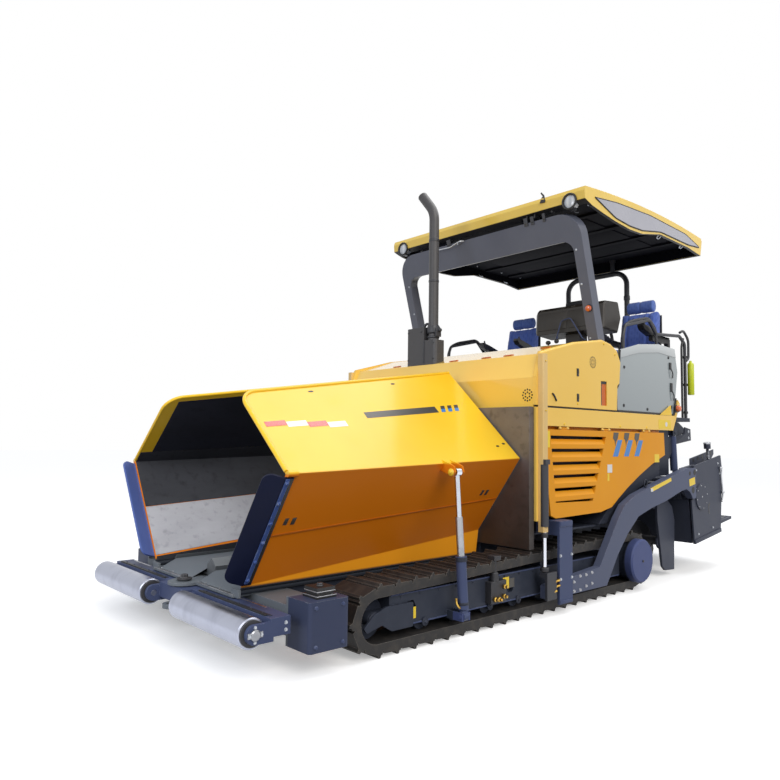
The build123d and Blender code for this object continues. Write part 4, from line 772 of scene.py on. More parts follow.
# ---- labels and films, left plain
PANEL_Y = 1.200  # the side panels' outer face
FRAME_Y, ARM_Y, POST_Y, BLOCK_Y = 1.1402, 1.2622, 1.2902, 1.2402  # just outside the faces of the lower parts
FILM_ON_PANEL, STRIPE_PITCH = PANEL_Y + CLEAR, 0.193
DARK_WEDGE = ((3.683, 1.462), (3.772, 1.462), (3.752, 1.403), (3.722, 1.378), (3.708, 1.337), (3.698, 1.385),
              (3.669, 1.410))
BLUE_SLANT = ((3.752, 1.394), (3.834, 1.394), (3.754, 1.243), (3.666, 1.243))


def labels(body, y, *pieces):
    """Thin films on an upright plane of both sides, each given as its name, finish and outlines."""
    for name, finish, *outlines in pieces:
        for outline in outlines:
            plate(outline, y, 0.0008)
        fit_pair(name, finish, body)


def stripes(outline):
    """The same outline three times, one stripe's pitch apart."""
    return [[(station + STRIPE_PITCH * k, z) for station, z in outline] for k in range(3)]


labels("door_{}", FILM_ON_PANEL,
       ("door_stripes_dark", film_grey, *stripes(DARK_WEDGE)),
       ("door_stripes_blue", film_blue, *stripes(BLUE_SLANT)),
       ("door_tag_yellow", film_yellow, rectangle(2.630, 2.690, 1.325, 1.460)),
       ("door_tag_white", film_white, rectangle(3.570, 3.650, 1.098, 1.172)),
       ("door_tag_small", film_yellow, rectangle(3.570, 3.600, 1.025, 1.090)))
labels("tractor", FILM_ON_PANEL,
       ("belt_tag", film_yellow, rectangle(4.540, 4.800, 1.515, 1.605)),
       ("arch_tag", film_yellow, rectangle(4.445, 4.540, 1.180, 1.260)))
labels("tractor", FILM_ON_PANEL + FILM, ("belt_tag_mark", film_white, around(20, 0.024, (4.700, 1.560))))
labels("tractor", FRAME_Y + 0.0002,
       ("frame_tag_front", film_yellow, rectangle(1.185, 1.240, 0.185, 0.260)),
       ("frame_tag_rear", film_yellow, rectangle(2.160, 2.235, 0.250, 0.335)),
       ("frame_mark_rear", film_grey, rectangle(2.240, 2.300, 0.250, 0.320)))
labels("tractor", FRAME_Y, ("drive_tag", film_yellow, rectangle(3.590, 3.640, 0.215, 0.285)))
labels("screed", ARM_Y + 0.0003,
       ("arm_label", film_yellow, ((4.235, 0.938), (4.655, 1.028), (4.665, 0.994), (4.262, 0.902))),
       ("arm_label_rear", film_yellow, ((5.065, 0.925), (5.195, 0.947), (5.185, 1.020), (5.055, 0.998))))
labels("screed", ARM_Y + 0.0013, ("arm_label_end", film_white, rectangle(4.240, 4.285, 0.905, 0.935)))


# ---- panels and hood
def perforations(middle, across, upwards, out, rings=2, pitch=0.023, hole=0.0078):
    """Round dark holes in rings about a middle, as a pressed vent shows; their black is painted shade in the
    holes.
    """
    for ring in range(1, rings + 1):
        count = 6 * ring
        for u, v in around(count, pitch * ring, phase=math.pi * (ring % 2) / count):
            turned(((hole, 0), (hole, 0.0006), (0, 0.0006)), middle + across * u + upwards * v, out, 8)


# painted shade: black holes of the panel's vent
perforations(at(3.343, FILM_ON_PANEL, 2.078), ALONG, UP, OUT)
fit_pair("panel_vent", painted_shade_black)

# flush latches in their pressed seats, with a paddle
for z in (1.971, 1.752):
    plate(rectangle(3.087, 3.117, z - 0.034, z + 0.034), FILM_ON_PANEL, 0.004, 0.002)
    plate(rectangle(3.092, 3.112, z - 0.012, z + 0.026), FILM_ON_PANEL + 0.004, 0.005, 0.002)
fit_pair("panel_latches", abs_black)

# curved grab slot
pipe([(2.722 + 0.056 * share, PANEL_Y + 0.006, 1.768 - 0.058 * share ** 1.5) for share in shares(0, 1, 6)],
     0.007, steps=10)
fit_pair("panel_grab", abs_black)

# yellow corner under the belt, and the recessed step's orange back and black front wall, both painted shade
# in the recess
plate(((4.572, 1.652), (4.824, 1.652), (4.805, 1.758)), FILM_ON_PANEL - 0.006, 0.005)
fit_pair("lower_corner", enamel_sun)
RECESS_Y = FILM_ON_PANEL - 0.010
plate(rectangle(3.492, 3.571, 1.702, 1.896), RECESS_Y, 0.001)
fit_pair("recess_back", painted_shade_orange)
plate(rectangle(3.477, 3.491, 1.702, 1.918), RECESS_Y, 0.007)
plate(rectangle(3.491, 3.571, 1.898, 1.918), RECESS_Y, 0.005)
fit_pair("recess_shade", painted_shade_black)

# small round-headed bolts along the panel's crest and the belt's lower edge
rounds(((0.011, 0), (0.011, 0.002), (0.007, 0.005), (0, 0.006)),
       ((3.528, 2.262), (3.720, 2.180), (2.640, 1.560), (3.100, 1.700), (4.300, 1.520), (3.800, 1.520),
        (2.900, 1.520)), PANEL_Y + 0.0002, 14)
fit_pair("panel_bolts", enamel_sun)

# dark inner plate behind the louvred door and the belt's lower edge, partly the tractor's body and partly
# painted shade behind them
inner = ((2.700, 1.000), (4.560, 1.000), (4.700, 1.035), (4.960, 1.035), (4.960, 1.635), (2.700, 1.635))
plate(inner, 1.090, 0.004, 0.001)
fit_pair("door_backing", chassis_dark)

# rail in the door's paint behind the slit between the belt and the door
plate(rectangle(2.640, 4.640, 1.452, 1.515), 1.138, 0.012, 0.002)
fit_pair("door_rail", enamel_door)

# narrow black strip behind the slit where the panel meets the belt, painted shade in the slit
plate(rectangle(2.510, 3.742, 1.651, 1.664), PANEL_Y - 0.020, 0.008)
fit_pair("panel_gap", black_rubber)

# front vents of the hood, as black holes of painted shade, and slots in its top, as orange pads of painted
# shade
perforations(Vector((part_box("hood")[1].x + CLEAR, 1.115, 1.746)), OUT, UP, AHEAD)
double()
fit("hood_vents", painted_shade_black)
BEVEL, CREST = Vector((2.600, 2.090)), Vector((3.063, 2.225))  # (station, height) of the hood's sloping top


def on_hood(station, y, out=0.0):
    """A point on the hood's sloping top between its front bevel and its crest."""
    rise = CREST - BEVEL
    height = BEVEL.y + rise.y * (station - BEVEL.x) / rise.x
    return at(station, y, height) + Vector((rise.y, 0, rise.x)) * out / rise.length


HOOD_SLOT = ((-0.014, -0.045), (0.014, -0.045), (0.020, 0), (0.014, 0.045), (-0.014, 0.045), (-0.020, 0))
for station, y in ((2.66, 0.16), (2.66, 0.55), (2.66, 0.80), (2.66, -0.62), (2.92, 1.00)):
    slab([on_hood(station + ds, y + dy, 0.0006) for ds, dy in HOOD_SLOT],
         on_hood(station, y, 0.006) - on_hood(station, y), 0.003)
fit("hood_slots", painted_shade_orange)

# rubber boots where the leaning arch passes through the hood
tray(rectangle(3.475, 3.645, 1.045, 1.168), 2.262, 0.034, 0.008)
double()
fit("arch_boots", black_rubber)


# ---- seats
SEAT_Y, SEAT_HALF, CUSHION_LOW = 0.790, 0.2375, 2.210
PADS = (  # name, outline as (station, height above the cushion's underside), half width, cover, channels
    ("cushion", ((4.490, 0.018), (4.502, 0.112), (4.560, 0.122), (4.860, 0.106), (4.985, 0.066),
                 (4.990, 0.008), (4.520, 0.006)), SEAT_HALF, seat_blue, (-0.125, 0.125)),
    ("backrest", ((4.990, 0.085), (5.030, 0.330), (5.036, 0.560), (5.000, 0.584), (4.952, 0.582),
                  (4.890, 0.300), (4.882, 0.160), (4.912, 0.085)), SEAT_HALF - 0.015, seat_blue,
     (-0.115, 0.115)),
    ("headrest", around(12, 0.054, (4.999, 0.6425), tall=0.070), 0.155, seat_pale, (0.0,)),
)
PAD_VOXEL, SWELL, SETTLING = 0.010, 0.016, 20  # the mesh, the furthest swelling, and the frames it takes


def pad_form(outline, half):
    """The foam inside a pad, a little smaller than its stuffed cover, with rounded edges."""
    middle = sum((Vector(point) for point in outline), Vector((0, 0))) / len(outline)
    inset = [middle + (Vector(point) - middle) * 0.985 for point in outline]
    plate([(station, CUSHION_LOW + z) for station, z in inset], SEAT_Y - half + 0.004, 2 * half - 0.008)
    bmesh.ops.recalc_face_normals(bench, faces=bench.faces)
    bmesh.ops.bevel(bench, geom=bench.edges[:], offset=0.024, segments=3, affect="EDGES", profile=0.6,
                    clamp_overlap=True)


def settled(piece):
    """The mesh that a piece's modifiers make of it, put in place of its own."""
    depsgraph = bpy.context.evaluated_depsgraph_get()
    mesh = bpy.data.meshes.new_from_object(piece.evaluated_get(depsgraph))
    piece.modifiers.clear()
    piece.data = mesh
    return mesh


def stuffed(piece):
    """Remeshes a pad and lets its cover swell over the foam, with no point moving further than SWELL."""
    remesh = piece.modifiers.new("cover", "REMESH")
    remesh.mode, remesh.voxel_size = "VOXEL", PAD_VOXEL
    mesh = settled(piece)
    foam = [vertex.co.copy() for vertex in mesh.vertices]
    cloth = piece.modifiers.new("swelling", "CLOTH")
    cloth.settings.use_pressure = True
    cloth.settings.uniform_pressure_force = 4
    cloth.settings.effector_weights.gravity = 0
    cloth.point_cache.frame_start, cloth.point_cache.frame_end = 1, SETTLING
    for moment in range(1, SETTLING + 1):
        bpy.context.scene.frame_set(moment)
    for vertex, before in zip(settled(piece).vertices, foam):
        moved = vertex.co - before
        if moved.length > SWELL:
            vertex.co = before + moved.normalized() * SWELL
    bpy.context.scene.frame_set(1)


def sew(mesh, channels, depth=0.007, width=0.011):
    """Pulls the cover in along sewn channels that run lengthwise, and a few soft creases across."""
    normals = [vertex.normal.copy() for vertex in mesh.vertices]
    for vertex, normal in zip(mesh.vertices, normals):
        beside = min(abs(vertex.co.y - SEAT_Y - line) for line in channels)
        pull = depth * math.exp(-(beside / width) ** 2)
        crease = 0.0022 * noise.noise(vertex.co * 14) + 0.0012 * noise.noise(vertex.co * 42)
        vertex.co += normal * (crease - pull * (1 - abs(normal.y)))


for word, outline, half, cover, channels in PADS:
    pad_form(outline, half)
    pad = fit(f"seat_{word}_left", cover, smooth=180)
    stuffed(pad)
    sew(pad.data, channels)
    pad.data.materials.clear()
    pad.data.materials.append(cover)
    pad.data.shade_smooth()
    for piece, side in ((pad, "left"), (mirrored(pad, f"seat_{word}_right", cover), "right")):
        finer = piece.modifiers.new("finer", "SUBSURF")
        finer.levels = finer.render_levels = 1
        if word == "cushion":
            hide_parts(f"seat_{side}")

# head rest posts, and the shell behind the backrest
for y in (SEAT_Y - 0.06, SEAT_Y + 0.06):
    pipe([(4.995, y, CUSHION_LOW + 0.555), (4.999, y, CUSHION_LOW + 0.62)], 0.006)
fit_pair("seat_posts", chrome)
shell = ((5.010, 0.070), (5.058, 0.330), (5.058, 0.540), (5.046, 0.540), (5.042, 0.330), (4.996, 0.080))
plate([(s, CUSHION_LOW + z) for s, z in shell], SEAT_Y - SEAT_HALF + 0.03, 2 * (SEAT_HALF - 0.03), 0.004)
fit_pair("seat_shell", abs_black)

# armrests: padded tops that rise forwards, each ending in a control pod with a lever and four buttons
ARMREST = ((4.480, 2.585), (4.600, 2.560), (4.800, 2.500), (5.030, 2.482), (5.030, 2.476), (4.640, 2.476),
           (4.500, 2.520), (4.470, 2.560))
POD_AXIS = (0.25, 0, 1)
for y in (SEAT_Y - SEAT_HALF - 0.030, SEAT_Y + SEAT_HALF + 0.030):
    plate(ARMREST, y - 0.036, 0.072, 0.012)
    turned(((0.011, 0), (0.013, 0.012), (0.008, 0.030), (0.010, 0.044), (0, 0.050)), at(4.550, y, 2.570),
           POD_AXIS, 14)
    for k in range(4):
        turned(((0.009, -0.004), (0.009, 0.006), (0.006, 0.009), (0, 0.009)),
               at(4.600 + 0.045 * k, y + 0.018, 2.562 - 0.013 * k), POD_AXIS, 10)
fit_pair("seat_controls", abs_black)

# control head that stands between the console and the left seat, with its red knob
head = ((4.640, 2.755), (4.700, 2.800), (4.900, 2.790), (4.960, 2.740), (4.930, 2.690), (4.700, 2.680))
plate(head, 0.46, 0.10, 0.014)
pipe([(4.80, 0.51, 2.70), (4.86, 0.515, 2.52), (4.87, 0.52, 2.44)], 0.018, 0.05)
plate(rectangle(4.700, 4.760, 2.700, 2.735), 0.470, -0.012, 0.003)
fit("control_head", abs_black)
turned(((0.007, 0), (0.007, 0.035), (0.018, 0.045), (0.020, 0.058), (0.014, 0.070), (0, 0.073)),
       at(4.700, 0.51, 2.796), (0.2, 0, 1), 18)
fit("control_knob", tape_red)


# ---- console and rails
# cable and two knobs on the console's front
pipe([(3.842, 0.500, 2.430), (3.815, 0.492, 2.392), (3.820, 0.551, 2.584), (3.820, 0.659, 2.605),
      (3.820, 0.796, 2.385), (3.860, 0.800, 2.372)], 0.0065, 0.03)
fit("console_wire", chassis_grey)
turned(((0.010, 0), (0.024, 0.008), (0.024, 0.022), (0.010, 0.030), (0, 0.030)), at(3.830, 0.500, 2.385),
       AHEAD, 18)
turned(((0.006, -0.06), (0.006, 0), (0.024, 0.010), (0.026, 0.028), (0.015, 0.042), (0, 0.044)),
       at(3.760, 0.440, 2.345), (0.1, 0, 1), 18)
fit("console_knobs", abs_black)

# lid of the console: raised rims and hinges, and on the operators' side switches, dials and a display
for low_y, high_y in ((0.250, 0.590), (0.610, 0.960)):
    slab([at(3.8535, low_y, 2.510), at(3.8535, high_y, 2.510), at(3.8675, high_y, 2.690),
          at(3.8675, low_y, 2.690)], (0.006, 0, 0), 0.004)
for y in (0.30, 0.54, 0.66, 0.90):
    pipe([(3.876, y - 0.02, 2.728), (3.876, y + 0.02, 2.728)], 0.009)
for k in range(9):
    plate(((4.130, 2.757), (4.150, 2.695), (4.160, 2.699), (4.140, 2.761)), 0.28 + 0.08 * k, 0.035, 0.002)
fit("console_fittings", abs_console)
for y in (0.33, 0.87):
    turned(((0.040, 0), (0.042, 0.008), (0.036, 0.012), (0.034, 0.006), (0, 0.006)), at(4.150, y, 2.700),
           (-0.95, 0, 0.3), 24)
fit("console_dials", lens_clear)
plate(((4.020, 2.758), (4.120, 2.758), (4.105, 2.815), (4.035, 2.815)), 0.47, 0.26, 0.010)
fit("console_display", abs_black)

# the rails' loops over the deck, with their brackets, sleeve and marker
RAIL_Y = 1.140
pipe([(3.976, RAIL_Y, 1.660), (3.976, RAIL_Y, 2.300), (4.000, RAIL_Y, 2.496), (4.141, RAIL_Y, 2.558),
      (4.477, RAIL_Y, 2.629), (4.628, RAIL_Y, 2.528), (4.640, RAIL_Y, 2.340)], 0.0135, 0.06)
pipe([(5.160, RAIL_Y, 2.556), (5.242, RAIL_Y, 2.589), (5.360, RAIL_Y, 2.500), (5.357, RAIL_Y, 2.289),
      (5.300, RAIL_Y, 2.262)], 0.0135, 0.05)
fit_pair("rail_loops", tube_black)
for z in (1.700, 2.000, 2.300):
    pipe([(5.250, RAIL_Y, z), (5.310, RAIL_Y, z)], 0.009)
    turned(((0.024, -0.012), (0.024, 0.012), (0.018, 0.012), (0, 0.012)), at(5.270, RAIL_Y, z), UP, 16)
pipe([(5.195, RAIL_Y, 1.640), (5.195, RAIL_Y, 2.420), (5.240, RAIL_Y, 2.500)], 0.012, 0.05)
fit_pair("rail_brackets", abs_black)
turned(((0, 0), (0.030, 0.002), (0.034, 0.010), (0.034, 0.330), (0.028, 0.345), (0.015, 0.350),
        (0.012, 0.372), (0, 0.374)), at(5.305, 1.186, 1.888), UP)
fit_pair("rail_sleeve", film_lime)
turned(((0.030, 0), (0.034, 0.004), (0.034, 0.020), (0.027, 0.034), (0.010, 0.040), (0, 0.040)),
       at(4.935, 1.205, 1.728), OUT)
fit_pair("side_marker", lens_amber)
plate(rectangle(4.895, 4.970, 1.690, 1.765), 1.201, 0.005, 0.002)
fit_pair("side_marker_seat", abs_black)
TAIL_Y, TAIL_THICK = 1.080, 0.012
plate(((4.915, 1.20), (4.970, 1.20), (5.110, 1.356), (5.492, 1.402), (5.484, 1.526), (5.350, 1.546),
       (5.335, 1.468), (4.930, 1.425), (4.780, 1.400), (4.780, 1.350), (4.915, 1.340)), TAIL_Y, TAIL_THICK,
      0.003)
fit("tail_bracket", chassis_dark)
rounds(((0.016, 0), (0.016, 0.001), (0.008, 0.001), (0, 0.0005)), ((5.435, 1.430), (5.435, 1.500)),
       TAIL_Y + TAIL_THICK + 0.0001, 16)
fit("tail_bracket_eyes", zinc)


# ---- arches, canopy and lamps
ARCH_LEAN = math.radians(15.8)
ARCH_OUT = Vector((math.cos(ARCH_LEAN), 0, -math.sin(ARCH_LEAN)))
ARCH_UP = Vector((math.sin(ARCH_LEAN), 0, math.cos(ARCH_LEAN)))


def on_arch(z, y, out=0.0):
    """A point on the leaning arch's front face, at that height and distance from the middle."""
    rear = 3.790 - (z - 1.640) * math.tan(ARCH_LEAN)
    return at(rear - 0.110 / math.cos(ARCH_LEAN), y, z) + ARCH_OUT * out


# marker lamp on the leg, on its rubber seat
turned(stud(0.034, 0.006, 0.028, 0.008), on_arch(2.583, 1.128), ARCH_OUT)
fit_pair("arch_marker_seat", black_rubber)
turned(((0.027, 0.007), (0.029, 0.016), (0.026, 0.028), (0.014, 0.035), (0, 0.036)), on_arch(2.583, 1.128),
       ARCH_OUT)
fit_pair("arch_marker", lens_amber)

# hinge brackets, pins and bolts where the arch folds at deck height
for y, thick in ((1.058, -0.006), (1.166, 0.006)):
    plate(((3.820, 1.642), (3.640, 1.642), (3.640, 1.700), (3.670, 1.760), (3.760, 1.760), (3.820, 1.700)),
          y, thick, 0.002)
turned(((0.020, -0.008), (0.020, 0.122), (0.012, 0.126), (0, 0.126)), at(3.715, 1.050, 1.715), OUT, 18)
fit_pair("arch_hinge", arch_coat)
for z in (1.90, 2.32, 2.80, 3.10):
    bolt(on_arch(z, 1.090), ARCH_OUT, 0.008)
fit_pair("arch_bolts", zinc)

# black clamp straps where the crossbar shows dark patches, their black being painted reflection, a folding
# pivot and a hook on the arch's crossbar
for y, wide in ((0.610, 0.040), (0.683, 0.034), (0.814, 0.028), (-0.383, 0.05)):
    low, high = on_arch(3.405, y - wide / 2), on_arch(3.465, y - wide / 2)
    slab([low, low + ARCH_OUT * 0.012, high + (ARCH_OUT + ARCH_UP) * 0.012, high + ARCH_UP * 0.012],
         (0, wide, 0), 0.003)
    bolt(on_arch(3.43, y, 0.012), ARCH_OUT, 0.009)
fit("crossbar_straps", tube_black)
for y in (0.600, 0.690):
    plate(((3.170, 3.462), (3.260, 3.462), (3.250, 3.510), (3.225, 3.545), (3.190, 3.530)), y, 0.014, 0.004)
pipe([(3.215, 0.585, 3.515), (3.215, 0.860, 3.515), (3.215, 0.880, 3.480)], 0.016, 0.03)
fit("crossbar_pivot", abs_black)
bar([on_arch(3.425, -0.18, 0.005), on_arch(3.430, -0.20, 0.05), on_arch(3.395, -0.33, 0.06),
     on_arch(3.405, -0.62, 0.05), on_arch(3.40, -0.66, 0.004)], 0.006, 0.02)
for y in (-0.23, -0.60):
    bar([on_arch(3.41, y), on_arch(3.41, y, 0.05)], 0.007)
fit("crossbar_hook", zinc)

# rear arch: foot plates bolted to the deck, sockets under the canopy and clamps round the legs
tray(rectangle(5.350, 5.440, 0.350, 0.450), 1.6402, 0.010, 0.002)
for station, y in rectangle(5.362, 5.428, 0.362, 0.438):
    bolt(at(station, y, 1.650), UP, 0.009)
turned(stud(0.036, 0.03, 0.031, 0.036), at(5.400, 0.220, 3.530), UP, 20)
turned(band(0.034, 0.036, 0.004, 0.050), at(5.400, 0.400, 3.050), UP, 20)
turned(band(0.034, 0.036, 0.004, 0.030), at(5.400, 0.400, 1.900), UP, 20)
double()
fit("rear_arch_fittings", tube_black)

LAMP_Y, LAMP_Z = 1.090, 3.520
turned(((0.060, -0.008), (0.072, -0.008), (0.076, -0.001), (0.076, 0.010), (0.068, 0.015), (0.060, 0.009),
        (0.060, -0.008)), at(3.160, LAMP_Y, LAMP_Z), AHEAD, 36)
double()
fit("lamp_rims", black_rubber)
turned(((0.0575, CLEAR), (0.0575, 0.006), (0.045, 0.013), (0.022, 0.017), (0, 0.018)),
       at(3.168, LAMP_Y, LAMP_Z), AHEAD, 36)
double()
fit("lamp_lenses", lens_clear)
plate(rectangle(3.180, 3.236, 3.466, 3.452), LAMP_Y - 0.03, 0.06, 0.004)
pipe([(3.225, LAMP_Y, 3.460), (3.240, LAMP_Y, 3.440), (3.300, LAMP_Y, 3.455)], 0.007, 0.02)
double()
fit("lamp_brackets", tube_black)

# dark lining of the roof's inner walls and of its cut lower edge, partly a real dark liner and partly
# painted shade under the roof
SKIRT = ((5.467, 3.435), (5.175, 3.468), (4.548, 3.480), (4.179, 3.407), (3.941, 3.400), (3.675, 3.420),
         (3.467, 3.447), (3.284, 3.477))
ROOF_UNDER, LINING, LINING_Y = 3.560, 0.0015, 1.212
over_skirt = [(min(station, 5.438), z + 0.001) for station, z in SKIRT]
plate([(5.438, ROOF_UNDER), *over_skirt, (3.243, 3.487), (3.243, ROOF_UNDER)], LINING_Y + 0.0016, -LINING)
double()
board(rectangle(-LINING_Y, LINING_Y, 3.486, ROOF_UNDER), 3.2403, -LINING)
board(rectangle(-LINING_Y, LINING_Y, 3.440, ROOF_UNDER), 5.4397, LINING)
fit("canopy_inner_walls", dark_liner_and_shade)
SEAL_IN, SEAL_OUT, SEAL_DOWN = 1.2142, 1.2442, (0, 0, -0.0016)
lower_edge = SKIRT + ((3.190, 3.505),)
for (s0, z0), (s1, z1) in zip(lower_edge, lower_edge[1:]):
    slab([at(s0, SEAL_IN, z0), at(s1, SEAL_IN, z1), at(s1, SEAL_OUT, z1), at(s0, SEAL_OUT, z0)], SEAL_DOWN)
double()
for s0, z0, s1, z1 in ((3.166, 3.514, 3.239, 3.489), (5.441, 3.438, 5.466, 3.435)):
    slab([at(s0, -SEAL_OUT, z0), at(s0, SEAL_OUT, z0), at(s1, SEAL_OUT, z1), at(s1, -SEAL_OUT, z1)],
         SEAL_DOWN)
fit("canopy_edge_seal", black_rubber)

# flat stiffening panels under the roof, near black partly for painted shade, and the bolts and clips along
# its folds
for station in (3.98, 4.46, 4.93):
    tray(rectangle(station - 0.20, station + 0.20, -0.86, 0.86), ROOF_UNDER - 0.0002, -0.010, 0.006)
fit("roof_panels", dark_liner_and_shade)
for station in (3.46, 3.94, 4.45, 4.93, 5.33):
    bolt(at(station, 1.10, ROOF_UNDER - 0.0002), -UP, 0.010)
for station in (5.10, 4.60):
    pipe([(station, 1.205, 3.500), (station, 1.175, 3.470), (station + 0.05, 1.175, 3.470),
          (station + 0.05, 1.205, 3.500)], 0.006, 0.012)
double()
fit("roof_clips", zinc)

# black seal round each pale insert
LEAF = ((3.330, 3.560), (3.700, 3.600), (4.330, 3.625), (5.100, 3.600), (5.440, 3.520), (5.175, 3.497),
        (4.548, 3.505), (4.179, 3.440), (3.941, 3.432), (3.675, 3.452), (3.330, 3.560))
pipe([(station, 1.2455, z) for station, z in LEAF], 0.0065, 0.045, steps=8)
fit_pair("insert_seal", black_rubber)

# folded aerial on the roof's front corner
turned(((0.018, 0), (0.018, 0.012), (0.008, 0.020), (0.008, 0.040), (0, 0.040)), at(3.195, 0.785, 3.629),
       UP, 16)
pipe([(3.195, 0.785, 3.660), (3.190, 0.765, 3.690)], 0.008)
pipe([(3.180, 0.800, 3.652), (3.168, 0.820, 3.600), (3.160, 0.815, 3.585)], 0.007, 0.015)
board(((0.775, 3.580), (0.830, 3.575), (0.835, 3.600), (0.790, 3.612)), 3.1585, 0.010, 0.003)
fit("roof_aerial", abs_black)


# ---- side screens
SCREEN_Y = 1.1823
tinted = ((3.829, 2.240), (4.187, 2.328), (4.593, 2.369), (4.941, 2.352), (4.966, 2.262), (4.590, 2.282),
          (4.190, 2.242), (3.818, 2.158))
plate(tinted, SCREEN_Y, 0.004, 0.003)
fit_pair("screen_band", screen_band)
pipe([(station, 1.189, z) for station, z in ((3.829, 2.240), (3.795, 1.905), (3.757, 1.862), (3.757, 1.664),
                                             (4.896, 1.664), (4.942, 1.835))], 0.009, 0.015, steps=8)
fit_pair("screen_seal", black_rubber)
rounds(stud(0.015, 0.004, 0.009, 0.008),
       ((3.914, 2.082), (4.803, 2.250), (3.900, 1.720), (4.350, 1.700), (4.850, 1.740)), SCREEN_Y, 16)
for station, low, high in ((4.830, 2.130, 2.200), (4.850, 1.900, 1.990)):
    plate(rectangle(station - 0.016, station + 0.016, low, high), SCREEN_Y, 0.014, 0.004)
    pipe([(station, SCREEN_Y + 0.012, low + 0.01), (station + 0.03, SCREEN_Y + 0.020, low - 0.04),
          (station + 0.03, SCREEN_Y + 0.014, low - 0.09)], 0.006, 0.02)
fit_pair("screen_fittings", abs_black)


# ---- exhaust
PIPE_AT = (2.675, -0.125)  # station and Y of the exhaust's axis
for z in (2.352, 2.430):
    turned(band(0.056, 0.060, 0.004, 0.020), at(*PIPE_AT, z), UP)
turned(((0.052, 0), (0.061, 0.010), (0.064, 0.050), (0.058, 0.074), (0.050, 0.080)), at(*PIPE_AT, 2.395), UP)
plate(((2.640, 2.365), (2.710, 2.365), (2.710, 2.440), (2.675, 2.475), (2.640, 2.440)), -0.065, 0.012, 0.003)
turned(stud(0.016, 0.05, 0.010, 0.055), at(2.675, -0.075, 2.425), OUT, 16)
pipe([(2.660, -0.110, 2.470), (2.640, -0.185, 2.500), (2.640, -0.215, 2.465)], 0.013, 0.03)
fit("exhaust_joint", tube_black)
board(rectangle(-0.192, -0.178, 2.110, 2.328), 2.6045, 0.004, 0.001)
for y, z in ((-0.40, 2.15), (-0.40, 2.42), (-0.22, 2.42), (-0.06, 2.15), (-0.06, 2.30)):
    bolt(at(2.605, y, z), AHEAD, 0.007)
fit("exhaust_seam", tube_black)
turned(band(0.0485, 0.051, 0.003, 0.033), at(*PIPE_AT, 3.300), UP)
turned(band(0.0485, 0.051, 0.003, 0.023), at(*PIPE_AT, 2.900), UP)
bolt(at(2.675, -0.076, 3.316), OUT, 0.008)
fit("exhaust_bands", tube_black)


# ---- front: rollers, beam, caps and hopper lip
ROLLER_Z, CAP_Y = 0.292, 1.1505
# end rings and bearing caps with their bolts
for y, way in ((1.1122, 1), (0.2348, -1)):
    turned(((0.020, 0.001), (0.020, 0.0004), (0.074, 0.0004), (0.076, 0.002), (0.076, 0.006), (0.060, 0.009),
            (0.020, 0.009)), at(0, y, ROLLER_Z), OUT * way, 36)
fit_pair("roller_rings", iron, "roller_{}")
turned(((0, 0), (0.032, 0), (0.032, 0.008), (0.024, 0.014), (0, 0.014)), at(0, CAP_Y, ROLLER_Z), OUT)
plate(rectangle(0.048, -0.048, ROLLER_Z - 0.016, ROLLER_Z + 0.016), CAP_Y, 0.006, 0.002)
fit_pair("roller_caps", steel_bare, "beam")
bolts(((0.038, ROLLER_Z), (-0.038, ROLLER_Z)), CAP_Y + 0.006, 0.008)
bolts(((0, ROLLER_Z + 0.040), (0, ROLLER_Z - 0.040)), CAP_Y - 0.0003, 0.008)
bolts(((0.200, 0.330), (0.200, 0.290)), CAP_Y - 0.0003, 0.009)
fit_pair("beam_bolts", zinc, "beam")

# black strip in the groove of the beam, painted shade of the groove, and the keeper strip beside it
GROOVE_Z, BEAM_TOP, KEEPER = 0.3592, 0.3652, 0.004
tray(rectangle(0.105, 0.117, 0.262, 1.078), GROOVE_Z, 0.016, 0.003)
fit_pair("beam_groove_shade", black_rubber, "beam")
tray(rectangle(0.122, 0.142, 0.270, 1.100), BEAM_TOP, KEEPER, 0.001)
for k in range(6):
    bolt(at(0.132, 0.32 + 0.14 * k, BEAM_TOP + KEEPER), UP, 0.006)
fit_pair("beam_strip", chassis_dark, "beam")

# bright wear bars at the front edge of the hopper's lip
LIP_TOP = 0.3852
tray(rectangle(0.168, 0.186, 0.125, 0.590), LIP_TOP, 0.007, 0.002)
tray(rectangle(0.168, 0.182, 0.660, 0.980), LIP_TOP, 0.0005)
fit_pair("lip_bar", steel_bare)
for station, y in ((0.21, 0.16), (0.21, 0.35), (0.21, 0.54), (0.29, 0.10)):
    bolt(at(station, y, LIP_TOP), UP, 0.007)
fit_pair("lip_bolts", steel_bare)

# pale edges of the stacked bump caps, and the head bolt
CAPS_AT = (0.455, 1.120)
for half, z in ((0.0725, 0.4475), (0.0665, 0.4725)):
    tray(rectangle(CAPS_AT[0] - half, CAPS_AT[0] + half, CAPS_AT[1] - half, CAPS_AT[1] + half), z, 0.0045,
         0.0015)
fit_pair("cap_edges", cap_edge)
bolt(at(*CAPS_AT, 0.4972), UP, 0.018)
fit_pair("cap_bolt", iron)

# bolts on the end block
bolts(rectangle(0.345, 0.540, 0.180, 0.400), BLOCK_Y, 0.011)
fit_pair("block_bolts", chassis_grey)

# flat apron plates that lead the mix from the hopper's lip over the front of the slats
plate(((0.205, 0.3856), (0.330, 0.4420), (0.900, 0.4470), (0.900, 0.4440), (0.330, 0.4390),
       (0.205, LIP_TOP)), 0.063, 0.500)
double()
fit("hopper_apron", apron_grey)

# hinge of the beam: washer and nut over the pivot
turned(((0, 0), (0.052, 0), (0.052, 0.008), (0.040, 0.010), (0, 0.010)), at(0.130, 0, 0.4002), UP, 28)
bolt(at(0.130, 0, 0.4102), UP, 0.024)
fit("pivot_nut", iron)


# ---- levelling cylinders and posts
LEVEL_AT, COVER_FACE = (2.560, 1.236), 1.2547
